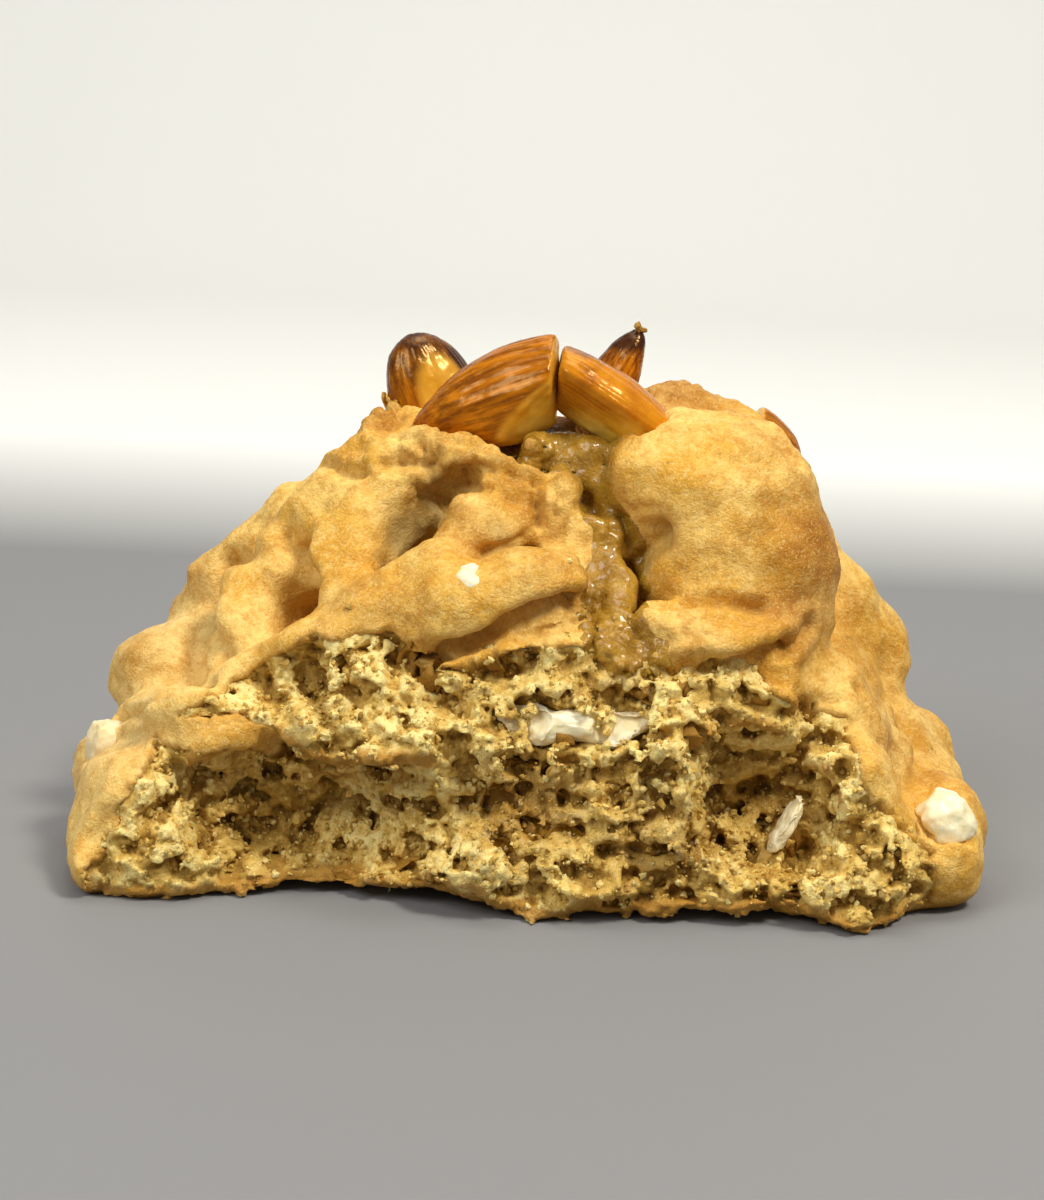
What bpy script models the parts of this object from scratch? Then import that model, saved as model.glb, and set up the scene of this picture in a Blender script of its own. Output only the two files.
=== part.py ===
"""A thick salted caramel cookie, broken in two: the larger piece, standing on its flat base.

The break faces -Y. The origin is the middle of the base, +Z is up, and Blender's units are metres.
Sizes and places below are in millimetres, and MM turns them into metres.
"""

import math

import bmesh
import bpy
import numpy as np
from mathutils import Euler, Matrix, Vector, noise

MM = 0.001

# Driving sizes
COOKIE_HALF_WIDTH = 49.0
MOUND_HALF_DEPTH = 30.0
BREAK_Y = -33.0
TOUCH_GAP = 0.3
ALMOND_LENGTH = 24.0
ALMOND_WIDTH = 11.5
ALMOND_THICKNESS = 8.0

# Fineness of the dough's surface
DOUGH_VOXEL = 0.8
DOUGH_FACES = 5300
CRUMB_STEP = 1.5

# The dough's filling forms: centre and half sizes
MOUND_FORMS = [
    ((1, 5, 0), (43, 24, 44)),
    ((4, 0, 30), (20, 12, 17)),
    ((1, -12, 0), (45, 36, 20)),
    ((2, -14, 2), (37, 36, 24)),
    ((-29, -5, 6), (17, 19, 20)),
    ((28, -2, 8), (16, 18, 20)),
]

# Lumps of dough that bake into crags. Each is a chain of balls: x, y, z and radius.
DOUGH_ROLLS = {
    "boulder": [(14.6, -7, 40.8, 11), (19.2, -8, 39, 12.6), (22.3, -11, 33.8, 11.4), (23.5, -13, 30.5, 9.4)],
    "boulder_lip": [(11.6, -22.4, 30.4, 2.8), (16, -23.2, 29.2, 3.6), (21, -22.8, 28.2, 4), (26, -20.4, 29, 4)],
    "ridge": [(-30, -21.5, 20, 5), (-23, -21.5, 24.5, 5.4), (-16, -20.5, 29, 5.8), (-10, -19, 32.6, 6)],
    "upper_finger": [(-10.5, -15.6, 34, 4.8), (-5.8, -13, 37.8, 4.5), (-2.4, -11.4, 39.4, 3.8)],
    "tongue": [(-13, -22.6, 28.6, 4.8), (-8, -23, 31, 5.1), (-2.8, -22.4, 33.2, 5), (2.3, -21.4, 33.9, 4.1)],
    "under_tongue": [(-4, -25, 26.4, 3.4), (2.6, -24.8, 28, 3.7), (7, -23.4, 27.8, 2.8)],
    "shelf": [(-22, -26, 20, 4.5), (-12, -27, 23, 4), (-2, -26, 26, 4), (6, -26, 24.5, 4), (16, -25, 23, 4), (24, -24, 21, 5)],
    "upper_left": [(-12, -3, 42.5, 5), (-19, -4, 40.5, 6), (-24, -6.5, 36.5, 5.6), (-27.5, -8, 32, 5)],
    "pillar": [(-17.5, -7, 41, 4.4), (-20.5, -10, 37, 4.8), (-21.5, -14, 32, 4.4), (-21.5, -17.5, 28, 4)],
    "upper_left_face": [(-5.4, -9.6, 41, 3.6), (-11, -7.6, 41, 4.4), (-15, -8, 40, 4.4)],
    "spike": [(-19, -2, 45, 2.6), (-19.3, -1.6, 47.8, 1.3)],
    "upper_left_back": [(-27, 0, 34, 6), (-32, 0, 29.5, 5.2)],
    "rim": [(-18, -6, 44.6, 2.4), (-13, -7.5, 45, 2.8), (-7.5, -9, 43.8, 2.8), (-3, -10.5, 43, 2.5)],
    "left_fold": [(-31.4, -8.6, 28, 4.6), (-32, -13, 23.8, 5), (-31.5, -18, 18.4, 5)],
    "left_back": [(-37, 1, 27, 4.4), (-38, 3, 21, 6)],
    "left_nub": [(-39.8, 0, 28, 2.2)],
    "left_round": [(-43, -6, 17.6, 6.4), (-38, -5, 18.5, 6.6)],
    "left_flank": [(-46, -14, 7.5, 6), (-43.5, -21, 7.5, 6.8), (-40, -27, 8, 7.4)],
    "left_foot": [(-45, -19, 4, 6), (-44, -27, 4, 6.4), (-42, -33, 4, 6)],
    "left_shoulder": [(-42, -14, 13, 5.6), (-38, -21, 14.5, 5.6), (-34, -26, 14.5, 5)],
    "right_back": [(33, 5, 26, 8), (37, 5, 19, 8)],
    "right_shoulder": [(24, -18, 20.5, 6.8), (31, -16, 18.5, 8), (36, -13, 12, 7.6)],
    "right_fold": [(34, -25, 13, 6), (37, -27, 6, 6)],
    "right_flank": [(41.5, 2, 11.5, 6.8), (44.5, -4, 7, 6.6)],
    "right_bulge": [(45.6, -13, 6, 6.6), (44.4, -21, 5.6, 6.6)],
    "crest": [(8, 4, 44.5, 5), (15, 4, 47.2, 5.6), (21.5, 3, 46, 5.2), (26, 6, 40.5, 6)],
    "gully_bump": [(2.8, -10.8, 42.4, 3), (2.8, -13, 39.4, 3.4), (2.2, -15, 36.4, 3)],
    "almond_seat": [(-14, 3, 44, 6), (-6, -1, 45, 5)],
    "almond_rest": [(1.2, -1.5, 46.2, 3.4)],
}

# Dents and creases pressed into the skin: a path, its reach and its depth
DOUGH_DENTS = {
    "pit": ([(-18, -15, 31.5), (-14.4, -13, 35.5), (-10, -12.4, 39.4)], 2.4, 3.6),
    "under_rim": ([(-14, -12, 42), (-7, -13, 42), (-3, -14, 41.5)], 1.6, 1.2),
    "boulder_crease": ([(9, -20, 37), (12.5, -23, 34), (18, -25, 33), (24, -24.4, 32.4)], 1.4, 2.0),
    "boulder_hollow": ([(8.5, -17, 40), (11.5, -20, 37), (14.5, -21.5, 35.4)], 2.4, 2.0),
    "gully": ([(5, -10, 45), (6.4, -15, 40), (7.8, -19, 35), (8, -24, 31)], 2.4, 2.6),
    "tongue_crease": ([(-12, -19.4, 34), (-8, -19, 36.4), (-4, -18.4, 37.8), (1, -17, 38)], 1.7, 3.0),
    "under_crease": ([(-9, -28, 27), (-2.8, -27, 29.4), (4, -25.4, 31.4)], 1.3, 2.4),
    "knoll_crease": ([(-27, -9, 37), (-26.6, -13, 32), (-26.4, -17, 26.5)], 1.7, 2.8),
    "fold_crease": ([(-36, -8, 27), (-37, -12, 22), (-36, -17, 18)], 1.7, 2.4),
    "shoulder_crease": ([(34, -2, 30), (31, -12, 27.5), (26, -20, 25.5)], 1.7, 2.2),
    "flank_crease": ([(41, -22, 14), (39.5, -14, 17), (40, -4, 19)], 1.5, 1.6),
}

# Air under the base, where the cookie doesn't touch what it stands on: centre and half sizes
UNDER_HOLLOWS = {
    "under_left": ((-13, -36, -6.6), (17, 13, 8.6)),
    "under_right": ((22, -34, -7.2), (14, 11, 8.6)),
}

# The unseen back gets like folds, set by rule round the mound: height, reach to the side, how many, radius
BACK_RINGS = [(8.0, 50.0, 8, 7.6), (21.0, 44.0, 7, 7.2), (33.0, 34.0, 5, 6.8), (43.0, 20.0, 3, 5.6)]
BACK_START, BACK_END = math.radians(8), math.radians(172)
BACK_SEED = 11


# Plain helpers

def fresh_collections():
    """Clears the file and makes the collection of pieces and that of cutters."""
    for old in list(bpy.data.objects):
        bpy.data.objects.remove(old)
    pieces = bpy.data.collections.new("salted_caramel_cookie")
    cutters = bpy.data.collections.new("cutters")
    for collection in (pieces, cutters):
        bpy.context.scene.collection.children.link(collection)
    return pieces, cutters


def material(name, colour, roughness):
    """A Principled material with one plain colour."""
    made = bpy.data.materials.new(name)
    made.use_nodes = True
    shader = made.node_tree.nodes["Principled BSDF"]
    shader.inputs["Base Color"].default_value = (*colour, 1)
    shader.inputs["Roughness"].default_value = roughness
    shader.inputs["Metallic"].default_value = 0
    made.diffuse_color = (*colour, 1)
    return made


def add_object(name, bm, collection, surface=None):
    """Turns a bmesh into a named object of a collection."""
    mesh = bpy.data.meshes.new(name)
    bm.to_mesh(mesh)
    bm.free()
    made = bpy.data.objects.new(name, mesh)
    collection.objects.link(made)
    if surface:
        mesh.materials.append(surface)
    return made


def add_cutter(name, bm, cutters):
    """A helper that the build and a render leave out."""
    made = add_object(name, bm, cutters)
    made.hide_render = True
    made.display_type = "WIRE"
    return made


def put_ball(bm, centre, half_sizes, turn=(0, 0, 0), fineness=3):
    """Adds one ball or ellipsoid to a bmesh, in millimetres and degrees."""
    place = Matrix.Translation(Vector(centre) * MM)
    spin = Euler([math.radians(a) for a in turn]).to_matrix().to_4x4()
    size = Matrix.Diagonal((*[h * MM for h in half_sizes], 1))
    return bmesh.ops.create_icosphere(bm, subdivisions=fineness, radius=1, matrix=place @ spin @ size)["verts"]


def put_roll(bm, balls, spacing=0.35):
    """Adds a chain of balls close enough together to make one smooth roll."""
    for (*a, ra), (*b, rb) in zip(balls, balls[1:] or balls):
        a, b = Vector(a), Vector(b)
        steps = max(1, math.ceil((b - a).length / (spacing * min(ra, rb))))
        for i in range(steps + 1):
            t = i / steps
            r = ra + (rb - ra) * t
            put_ball(bm, a.lerp(b, t), (r, r, r), fineness=2)


def apply_modifiers(made):
    """Replaces an object's mesh by what its modifiers make."""
    bpy.context.view_layer.update()
    evaluated = made.evaluated_get(bpy.context.evaluated_depsgraph_get())
    mesh = bpy.data.meshes.new_from_object(evaluated)
    made.modifiers.clear()
    made.data = mesh


def remesh(made, voxel, smoothing=0):
    """Melts overlapping shapes into one closed skin."""
    skin = made.modifiers.new("skin", "REMESH")
    skin.mode = "VOXEL"
    skin.voxel_size = voxel * MM
    if smoothing:
        soft = made.modifiers.new("soften", "SMOOTH")
        soft.factor = 0.5
        soft.iterations = smoothing


def cut(made, cutter, name, solver="EXACT"):
    """Takes a cutter's shape away from an object."""
    taken = made.modifiers.new(name, "BOOLEAN")
    taken.operation = "DIFFERENCE"
    taken.solver = solver
    taken.object = cutter


def drop_scraps(made):
    """Keeps the largest connected piece of a mesh and drops the loose crumbs that the cuts left."""
    bm = bmesh.new()
    bm.from_mesh(made.data)
    left = set(bm.faces)
    pieces = []
    while left:
        found = [left.pop()]
        for face in found:
            edges = [edge for edge in face.edges if len(edge.link_faces) == 2]
            near = {other for edge in edges for other in edge.link_faces} & left
            left -= near
            found.extend(near)
        pieces.append(found)
    pieces.sort(key=len)
    scraps = [face for piece in pieces[:-1] for face in piece]
    bmesh.ops.delete(bm, geom=scraps, context="FACES")
    bm.to_mesh(made.data)
    bm.free()


def chop(bm, place, away):
    """Cuts off what lies beyond a place and closes the cut."""
    whole = list(bm.verts) + list(bm.edges) + list(bm.faces)
    sliced = bmesh.ops.bisect_plane(bm, geom=whole, plane_co=place, plane_no=away, clear_outer=True)
    rim = [e for e in sliced["geom_cut"] if isinstance(e, bmesh.types.BMEdge)]
    bmesh.ops.holes_fill(bm, edges=rim)


def grown_copy(piece, name, cutters, gap=TOUCH_GAP):
    """A copy of a piece, larger by the gap all over, which cuts the piece's bed in the dough."""
    bm = bmesh.new()
    bm.from_mesh(piece.data)
    bm.normal_update()
    for v in bm.verts:
        v.co += v.normal * v.calc_shell_factor() * gap * MM
    made = add_cutter(name, bm, cutters)
    made.matrix_world = piece.matrix_world
    return made


# The dough

def back_folds():
    """Folds on the side away from the break: rings of short rolls, uneven by a seeded draw."""
    draw = np.random.default_rng(BACK_SEED)
    depth = MOUND_HALF_DEPTH / COOKIE_HALF_WIDTH
    folds = []
    for height, reach, count, radius in BACK_RINGS:
        for i in range(count):
            angle = BACK_START + (BACK_END - BACK_START) * (i + draw.uniform(0.2, 0.8)) / count
            r = radius * draw.uniform(0.8, 1.1)
            out = reach - r * 0.62
            start = Vector((out * math.cos(angle), out * depth * math.sin(angle), height + draw.uniform(-3, 2)))
            along = Vector((-math.sin(angle), depth * math.cos(angle), draw.uniform(-1.2, 0.8)))
            end = start * 0.97 + along * draw.uniform(4, 10)
            folds.append([(*start, r), (*end, r * draw.uniform(0.6, 0.9))])
    return folds


def hills(point, size, seed=0.0):
    """Smooth uneven heights from -1 to 1, with hills of about this size, at a point in millimetres."""
    return noise.noise(Vector(point) / size + Vector((seed, seed * 1.7, seed * 0.6)))


def dome(x, z, centre, spread, steepness):
    """A bump of height 1 at a place on the break, with a flatter top and steeper sides as steepness grows."""
    reach = ((x - centre[0]) / spread[0]) ** 2 + ((z - centre[1]) / spread[1]) ** 2
    return math.exp(-(reach**steepness))


# Forms of the break, seen from the front: centre x and z, spread x and z, how far it is set back, and steepness
BREAK_FORMS = {
    "left_foot": ((-43, 3), (7, 9), -1.5, 1),
    "left_recess": ((-27, 10), (13, 6.4), 9.0, 2),
    "left_base": ((-26, 0), (12, 4), 3.0, 1),
    "left_flap": ((-29, 18.0), (13, 2.0), -5.0, 2),
    "above_flap": ((-27, 22.6), (7, 2.0), 5.5, 1),
    "middle_hollow": ((-9, 13), (7, 6), 2.5, 1),
    "middle_bulge": ((4, 3), (10, 5), -2.6, 1),
    "caramel_dip": ((1, 13), (6, 6), 2.5, 1),
    "soaked_bulge": ((14, 8), (7, 4), -0.8, 1),
    "pocket": ((25.5, 13), (8, 7), 11.0, 2),
    "pocket_roof": ((25, 22.4), (9, 2.2), -2.4, 1),
    "right_foot": ((38, 4), (6, 10), -2.5, 1),
    "right_base": ((26, 0), (9, 4), 2.5, 1),
}
LEAN_FROM, LEAN_TO = 17.0, 26.0
LEAN = 0.5
CRAG_LEVELS = [(8.5, 3.0, 1.0), (4.4, 3.2, 5.0), (2.6, 2.0, 9.0)]


def break_y(x, z):
    """How far back the broken surface lies at x and z, in millimetres."""
    y = BREAK_Y + LEAN * (min(max(z, LEAN_FROM), LEAN_TO) - LEAN_FROM)
    for centre, spread, back, steepness in BREAK_FORMS.values():
        y += back * dome(x, z, centre, spread, steepness)
    for size, height, seed in CRAG_LEVELS:
        y += height * hills((x, 0, z), size, seed)
    return y


def break_cutter(cutters):
    """The half of the cookie that was broken off, as one block with the torn surface at its back."""
    half_width, height, low = 60.0, 56.0, -4.0
    columns, rows = round(2 * half_width / CRUMB_STEP), round(height / CRUMB_STEP)
    bm = bmesh.new()
    bmesh.ops.create_grid(bm, x_segments=columns, y_segments=rows, size=1)
    for v in bm.verts:
        x, z = v.co.x * half_width, low + (v.co.y + 1) / 2 * height
        aside = 0.0 if v.is_boundary else 0.4 * CRUMB_STEP
        side, rise = hills((x, 40, z), 1.9, 2), hills((x, 80, z), 1.9, 4)
        v.co = Vector((x + aside * side, break_y(x, z), z + aside * rise)) * MM
    front = bmesh.ops.extrude_face_region(bm, geom=list(bm.faces))["geom"]
    for v in front:
        if isinstance(v, bmesh.types.BMVert):
            v.co.y = -70 * MM
    bmesh.ops.recalc_face_normals(bm, faces=bm.faces)
    return add_cutter("broken_off", bm, cutters)


def ellipsoid_cutter(name, centre, half_sizes, cutters):
    bm = bmesh.new()
    put_ball(bm, centre, half_sizes)
    return add_cutter(name, bm, cutters)


def cut_the_floor(dough):
    """Takes off what lies under the base, so that the cookie stands on a flat face."""
    bm = bmesh.new()
    bm.from_mesh(dough.data)
    chop(bm, (0, 0, 0), (0, 0, -1))
    bm.to_mesh(dough.data)
    bm.free()


def distance_to_path(point, path):
    """How far a point is from a bent line."""
    nearest = (point - path[0]).length
    for a, b in zip(path, path[1:]):
        along = min(1.0, max(0.0, (point - a).dot(b - a) / (b - a).length_squared))
        nearest = min(nearest, (point - a.lerp(b, along)).length)
    return nearest


def work_the_skin(dough):
    """Presses the dents in and makes the skin uneven, each point moving along its normal."""
    normals = [v.normal.copy() for v in dough.data.vertices]
    paths = [([Vector(p) for p in path], reach, depth) for path, reach, depth in DOUGH_DENTS.values()]
    for v, normal in zip(dough.data.vertices, normals):
        point = v.co / MM
        height = 0.9 * hills(point, 7, 3) + 0.4 * hills(point, 3, 8)
        for path, reach, depth in paths:
            height -= depth * math.exp(-((distance_to_path(point, path) / reach) ** 2))
        v.co += normal * height * MM


def make_dough(pieces, cutters, broken_off):
    bm = bmesh.new()
    for centre, half_sizes in MOUND_FORMS:
        put_ball(bm, centre, half_sizes, fineness=4)
    for balls in [*DOUGH_ROLLS.values(), *back_folds()]:
        put_roll(bm, balls)
    dough = add_object("dough", bm, pieces, material("baked_dough", (0.74, 0.44, 0.10), 0.6))
    remesh(dough, DOUGH_VOXEL, smoothing=1)
    apply_modifiers(dough)
    work_the_skin(dough)
    cut_the_floor(dough)
    remesh(dough, DOUGH_VOXEL)
    apply_modifiers(dough)
    thin = dough.modifiers.new("fewer_faces", "DECIMATE")
    thin.ratio = DOUGH_FACES / (2 * len(dough.data.polygons))
    apply_modifiers(dough)
    cut_the_floor(dough)
    for name, (centre, half_sizes) in UNDER_HOLLOWS.items():
        cut(dough, ellipsoid_cutter(name, centre, half_sizes, cutters), name)
    cut(dough, broken_off, "break")
    return dough


# The almonds

# Each chopped almond: its size beside the others, its centre when whole, the way from its point to its round
# end, the way its broad side faces, and the knife cuts, each a place and the way its cut face looks
ALMONDS = {
    "almond_front": {
        "centre": (-4.2, -5.6, 51.6),
        "along": (0.90, -0.15, 0.38),
        "face": (-0.25, -0.88, 0.40),
        "cuts": [((0.6, -7, 54), (1, -0.15, 0.05)), ((-1.6, -9.4, 51), (0.5, -0.72, -0.48))],
    },
    "almond_middle": {
        "centre": (7.0, -6.2, 50.9),
        "along": (-0.86, 0.14, 0.49),
        "face": (0.48, 0.12, 0.87),
        "cuts": [((1.6, -6, 54), (-1, 0, 0.1)), ((5.6, -7.9, 49.2), (-0.5, -0.62, -0.6))],
    },
    "almond_back": {
        "centre": (-11.6, 5.0, 45.8),
        "along": (-0.40, 0.10, 0.91),
        "face": (0.35, -0.92, 0.15),
        "cuts": [((-10, 5, 44), (0.40, -0.10, -0.91)), ((-11.8, 1.9, 50), (0.35, -0.88, 0.3))],
    },
    "almond_tip": {
        "size": 0.58,
        "centre": (7.6, 8.1, 52.0),
        "along": (-0.42, -0.1, -0.9),
        "face": (-0.75, -0.65, 0.1),
        "cuts": [((6, 8, 46.5), (0, 0, -1))],
    },
    "almond_rear": {
        "size": 0.85,
        "centre": (21.0, 8.4, 47.0),
        "along": (0.90, 0.1, -0.42),
        "face": (0.35, -0.85, 0.5),
        "cuts": [((23.8, 8.8, 45.6), (-0.9, -0.1, 0.42))],
    },
}


def almond_frame(along, face):
    """Turns a piece so that X runs along the almond and Z out of its broad side."""
    x = Vector(along).normalized()
    y = Vector(face).cross(x).normalized()
    return Matrix((x, y, x.cross(y))).transposed().to_4x4()


def whole_almond(size=1.0):
    """An almond along X in millimetres: pointed at -X, blunt at +X."""
    bm = bmesh.new()
    spin = Matrix.Rotation(math.pi / 2, 4, "Y")
    bmesh.ops.create_uvsphere(bm, u_segments=18, v_segments=12, radius=size, matrix=spin)
    for v in bm.verts:
        blunt, point = max(0.0, v.co.x / size), max(0.0, -v.co.x / size)
        v.co.y *= ALMOND_WIDTH / 2 * (1 - 0.2 * point - 0.25 * point**3)
        v.co.z *= ALMOND_THICKNESS / 2 * (1 - 0.18 * point)
        v.co.x = size * ALMOND_LENGTH / 2 * (blunt**0.8 - point)
    return bm


def make_almonds(pieces):
    skin = material("glazed_almond", (0.42, 0.15, 0.015), 0.22)
    almonds = []
    for name, facts in ALMONDS.items():
        bm = whole_almond(facts.get("size", 1.0))
        bm.transform(Matrix.Translation(facts["centre"]) @ almond_frame(facts["along"], facts["face"]))
        for place, away in facts["cuts"]:
            chop(bm, place, away)
        bmesh.ops.recalc_face_normals(bm, faces=bm.faces)
        bmesh.ops.scale(bm, vec=(MM, MM, MM), verts=bm.verts)
        almonds.append(add_object(name, bm, pieces, skin))
    return almonds


# The caramel

# Where the runny caramel lies: chains of balls, x, y, z and radius
CARAMEL_RUN = [
    [(-2, -6, 45.4, 3), (4, -7, 44.4, 3.6), (8, -7, 45, 3)],
    [(4.6, -7.4, 44, 3.2), (6.6, -10.4, 41, 2.3), (7.8, -13.2, 37.5, 2.1), (8.6, -16.4, 34, 2.2), (8.2, -20.6, 30.4, 2.9)],
    [(4.4, -25, 26, 2.4), (8, -24, 27.4, 3.2), (12, -24.6, 26, 2.4)],
]
# The caramel inside, running back from the break: centre and half sizes
CARAMEL_CORE = [
    ((-1, -28, 11.5), (6.5, 9, 6)),
    ((11, -28, 9.5), (9, 8, 4.6)),
    ((5, -18, 12), (13, 10, 6)),
]
CARAMEL_VOXEL = 0.9


def make_caramel(pieces, broken_off):
    """The runny caramel in the gully, and the soft caramel inside, which the break lays open."""
    sauce = material("salted_caramel", (0.50, 0.26, 0.05), 0.2)
    bm = bmesh.new()
    for balls in CARAMEL_RUN:
        put_roll(bm, balls)
    run = add_object("caramel_run", bm, pieces, sauce)
    bm = bmesh.new()
    for centre, half_sizes in CARAMEL_CORE:
        put_ball(bm, centre, half_sizes)
    core = add_object("caramel_core", bm, pieces, sauce)
    for made, faces in ((run, 520), (core, 300)):
        remesh(made, CARAMEL_VOXEL, smoothing=4)
        apply_modifiers(made)
        thin = made.modifiers.new("fewer_faces", "DECIMATE")
        thin.ratio = faces / (2 * len(made.data.polygons))
        apply_modifiers(made)
    cut(core, broken_off, "break")
    apply_modifiers(core)
    return run, core


# The white chocolate

CHUNKS = {
    "chunk_left": ((-46.8, -17, 12.1), (3.2, 3.4, 3.6), (0, 22, 20)),
    "chunk_right": ((45.7, -22.4, 9.6), (3.4, 3.9, 3.9), (0, -28, 0)),
    "chunk_crust": ((-7.4, -24.6, 33.2), (2.5, 2.6, 2.6), (20, 0, 15)),
    "chunk_pocket": ((27.6, -26.5, 9.4), (1.9, 3.6, 4.8), (0, 28, 0)),
}


# The piece that melted into a streak across the break: a chain of balls
MELTED_STREAK = [
    (-3.5, -28.5, 21, 1.9), (0.5, -29, 19.8, 3), (4.5, -29, 20.4, 2.6), (8.5, -28.6, 19.6, 3), (12.5, -28, 21, 1.8),
]


def make_streak(pieces, broken_off, white):
    bm = bmesh.new()
    put_roll(bm, MELTED_STREAK)
    streak = add_object("chunk_melted", bm, pieces, white)
    remesh(streak, CARAMEL_VOXEL, smoothing=3)
    cut(streak, broken_off, "break")
    thin = streak.modifiers.new("fewer_faces", "DECIMATE")
    thin.ratio = 0.3
    apply_modifiers(streak)
    return streak


def make_chunks(pieces, broken_off):
    """Chopped white chocolate: uneven lumps with rounded corners."""
    white = material("white_chocolate", (0.86, 0.72, 0.42), 0.35)
    chunks = [make_streak(pieces, broken_off, white)]
    for number, (name, (centre, half_sizes, turn)) in enumerate(CHUNKS.items()):
        bm = bmesh.new()
        bmesh.ops.create_icosphere(bm, subdivisions=2, radius=1)
        for v in bm.verts:
            square = max(abs(c) for c in v.co)
            v.co *= (0.82 / square) ** 0.45
            v.co *= 1 + 0.16 * noise.noise(v.co * 1.4 + Vector((number * 3.1, 0, 0)))
        put = Euler([math.radians(a) for a in turn]).to_matrix().to_4x4()
        size = Matrix.Diagonal((*[h * MM for h in half_sizes], 1))
        bm.transform(Matrix.Translation(Vector(centre) * MM) @ put @ size)
        chunks.append(add_object(name, bm, pieces, white))
    return chunks


# Assembly

def bed(made, inlays, cutters):
    """Cuts into an object the hollows that its inlays sit in. EXACT loses the dough at the core's open bed."""
    for piece in inlays:
        cut(made, grown_copy(piece, "bed_of_" + piece.name, cutters), "bed_of_" + piece.name, solver="MANIFOLD")
    apply_modifiers(made)
    drop_scraps(made)


def main():
    pieces, cutters = fresh_collections()
    broken_off = break_cutter(cutters)
    almonds = make_almonds(pieces)
    run, core = make_caramel(pieces, broken_off)
    chunks = make_chunks(pieces, broken_off)
    bed(run, almonds, cutters)
    bed(core, chunks, cutters)
    dough = make_dough(pieces, cutters, broken_off)
    bed(dough, [*almonds, run, core, *chunks], cutters)
    dough.data.shade_smooth()


main()
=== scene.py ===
import math

import bmesh
import bpy
import numpy as np
from mathutils import Matrix, Vector
from mathutils.bvhtree import BVHTree
from mathutils.kdtree import KDTree


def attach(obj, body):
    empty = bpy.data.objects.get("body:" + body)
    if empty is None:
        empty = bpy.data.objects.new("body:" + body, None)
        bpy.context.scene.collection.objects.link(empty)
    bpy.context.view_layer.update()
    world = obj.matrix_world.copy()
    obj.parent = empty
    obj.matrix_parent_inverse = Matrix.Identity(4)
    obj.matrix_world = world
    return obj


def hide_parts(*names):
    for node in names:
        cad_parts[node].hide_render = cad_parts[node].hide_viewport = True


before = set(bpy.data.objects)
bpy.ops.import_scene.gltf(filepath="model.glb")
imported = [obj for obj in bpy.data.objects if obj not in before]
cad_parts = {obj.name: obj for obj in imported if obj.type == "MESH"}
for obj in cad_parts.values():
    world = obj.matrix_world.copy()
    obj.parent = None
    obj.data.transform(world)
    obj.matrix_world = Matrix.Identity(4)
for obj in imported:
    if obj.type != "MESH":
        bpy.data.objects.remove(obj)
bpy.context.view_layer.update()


# The view. The cookie is seen from a little above, square on to its torn face,
# through a long portrait lens, with the camera tipped slightly to one side.

MM = 0.001
VIEW_PLACE = (-1.9, -284.0, 92.0)
VIEW_PITCH = math.radians(12.905)
VIEW_TIP = math.radians(2.693)


def in_scene(name, data):
    """Puts a camera, a light or a mesh in the scene."""
    thing = bpy.data.objects.new(name, data)
    bpy.context.scene.collection.objects.link(thing)
    return thing


ahead = Vector((0, math.cos(VIEW_PITCH), -math.sin(VIEW_PITCH)))
upward = Vector((0, math.sin(VIEW_PITCH), math.cos(VIEW_PITCH)))
aside = Vector((1, 0, 0))
picture_right = aside * math.cos(VIEW_TIP) + upward * math.sin(VIEW_TIP)
picture_up = upward * math.cos(VIEW_TIP) - aside * math.sin(VIEW_TIP)

lens = bpy.data.cameras.new("view")
lens.sensor_width = 36
lens.lens = 75
lens.clip_start = 0.01
lens.clip_end = 20
view = in_scene("view", lens)
view.matrix_world = Matrix((picture_right, picture_up, -ahead)).transposed().to_4x4()
view.location = Vector(VIEW_PLACE) * MM
bpy.context.scene.camera = view


# The dough. It is one lump of soft brown sugar dough, folded and torn rough before it was baked,
# so that a satiny golden skin set over the folds and browned where they stand out. The cookie was
# then broken in two by hand, which left the skin as a ragged edge round the torn crumb.

FIRST_VOXEL = 0.5
SKIN_VOXEL = 0.36
SKIN_TRIANGLES = 196000
TORN_DEPTH = 3.4
# The torn face goes in by no more than this share of the dough's thickness, felt up to 8 mm deep
ROOM_SHARE = 0.42
ROOM_REACH = 8

# Where the skin ends and the crumb starts, seen from the front: x and z
SKIN_EDGE = [
    (-47, 0), (-46.4, 4.5), (-44, 7.8), (-43.4, 11), (-38.6, 18.6), (-33.3, 21.8), (-24.1, 28.1),
    (-21.5, 27.7), (-16.3, 29.5), (-11.9, 26.9), (-8.6, 26), (-5.1, 28.2), (5.5, 29), (8.2, 25.9),
    (10.9, 27.1), (16.2, 26.6), (18.8, 27.8), (22.1, 27.4), (25.7, 24.4), (33.8, 21), (35.7, 15.1),
    (40.2, 10.8), (43.4, 8.2), (44.6, 0),
]
# A flap of skin that reaches across the crumb: its middle line, x and z, and its half width
FLAP, FLAP_HALF = [(-43, 17), (-34, 17.6), (-28.6, 16.8)], 1.5
# How far back the torn face reaches: x and y
TORN_BACK = [(-47, -31.5), (-43, -28), (-38, -22), (-34, -19), (30, -19), (33, -22), (36, -25.5), (45, -26)]

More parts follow.
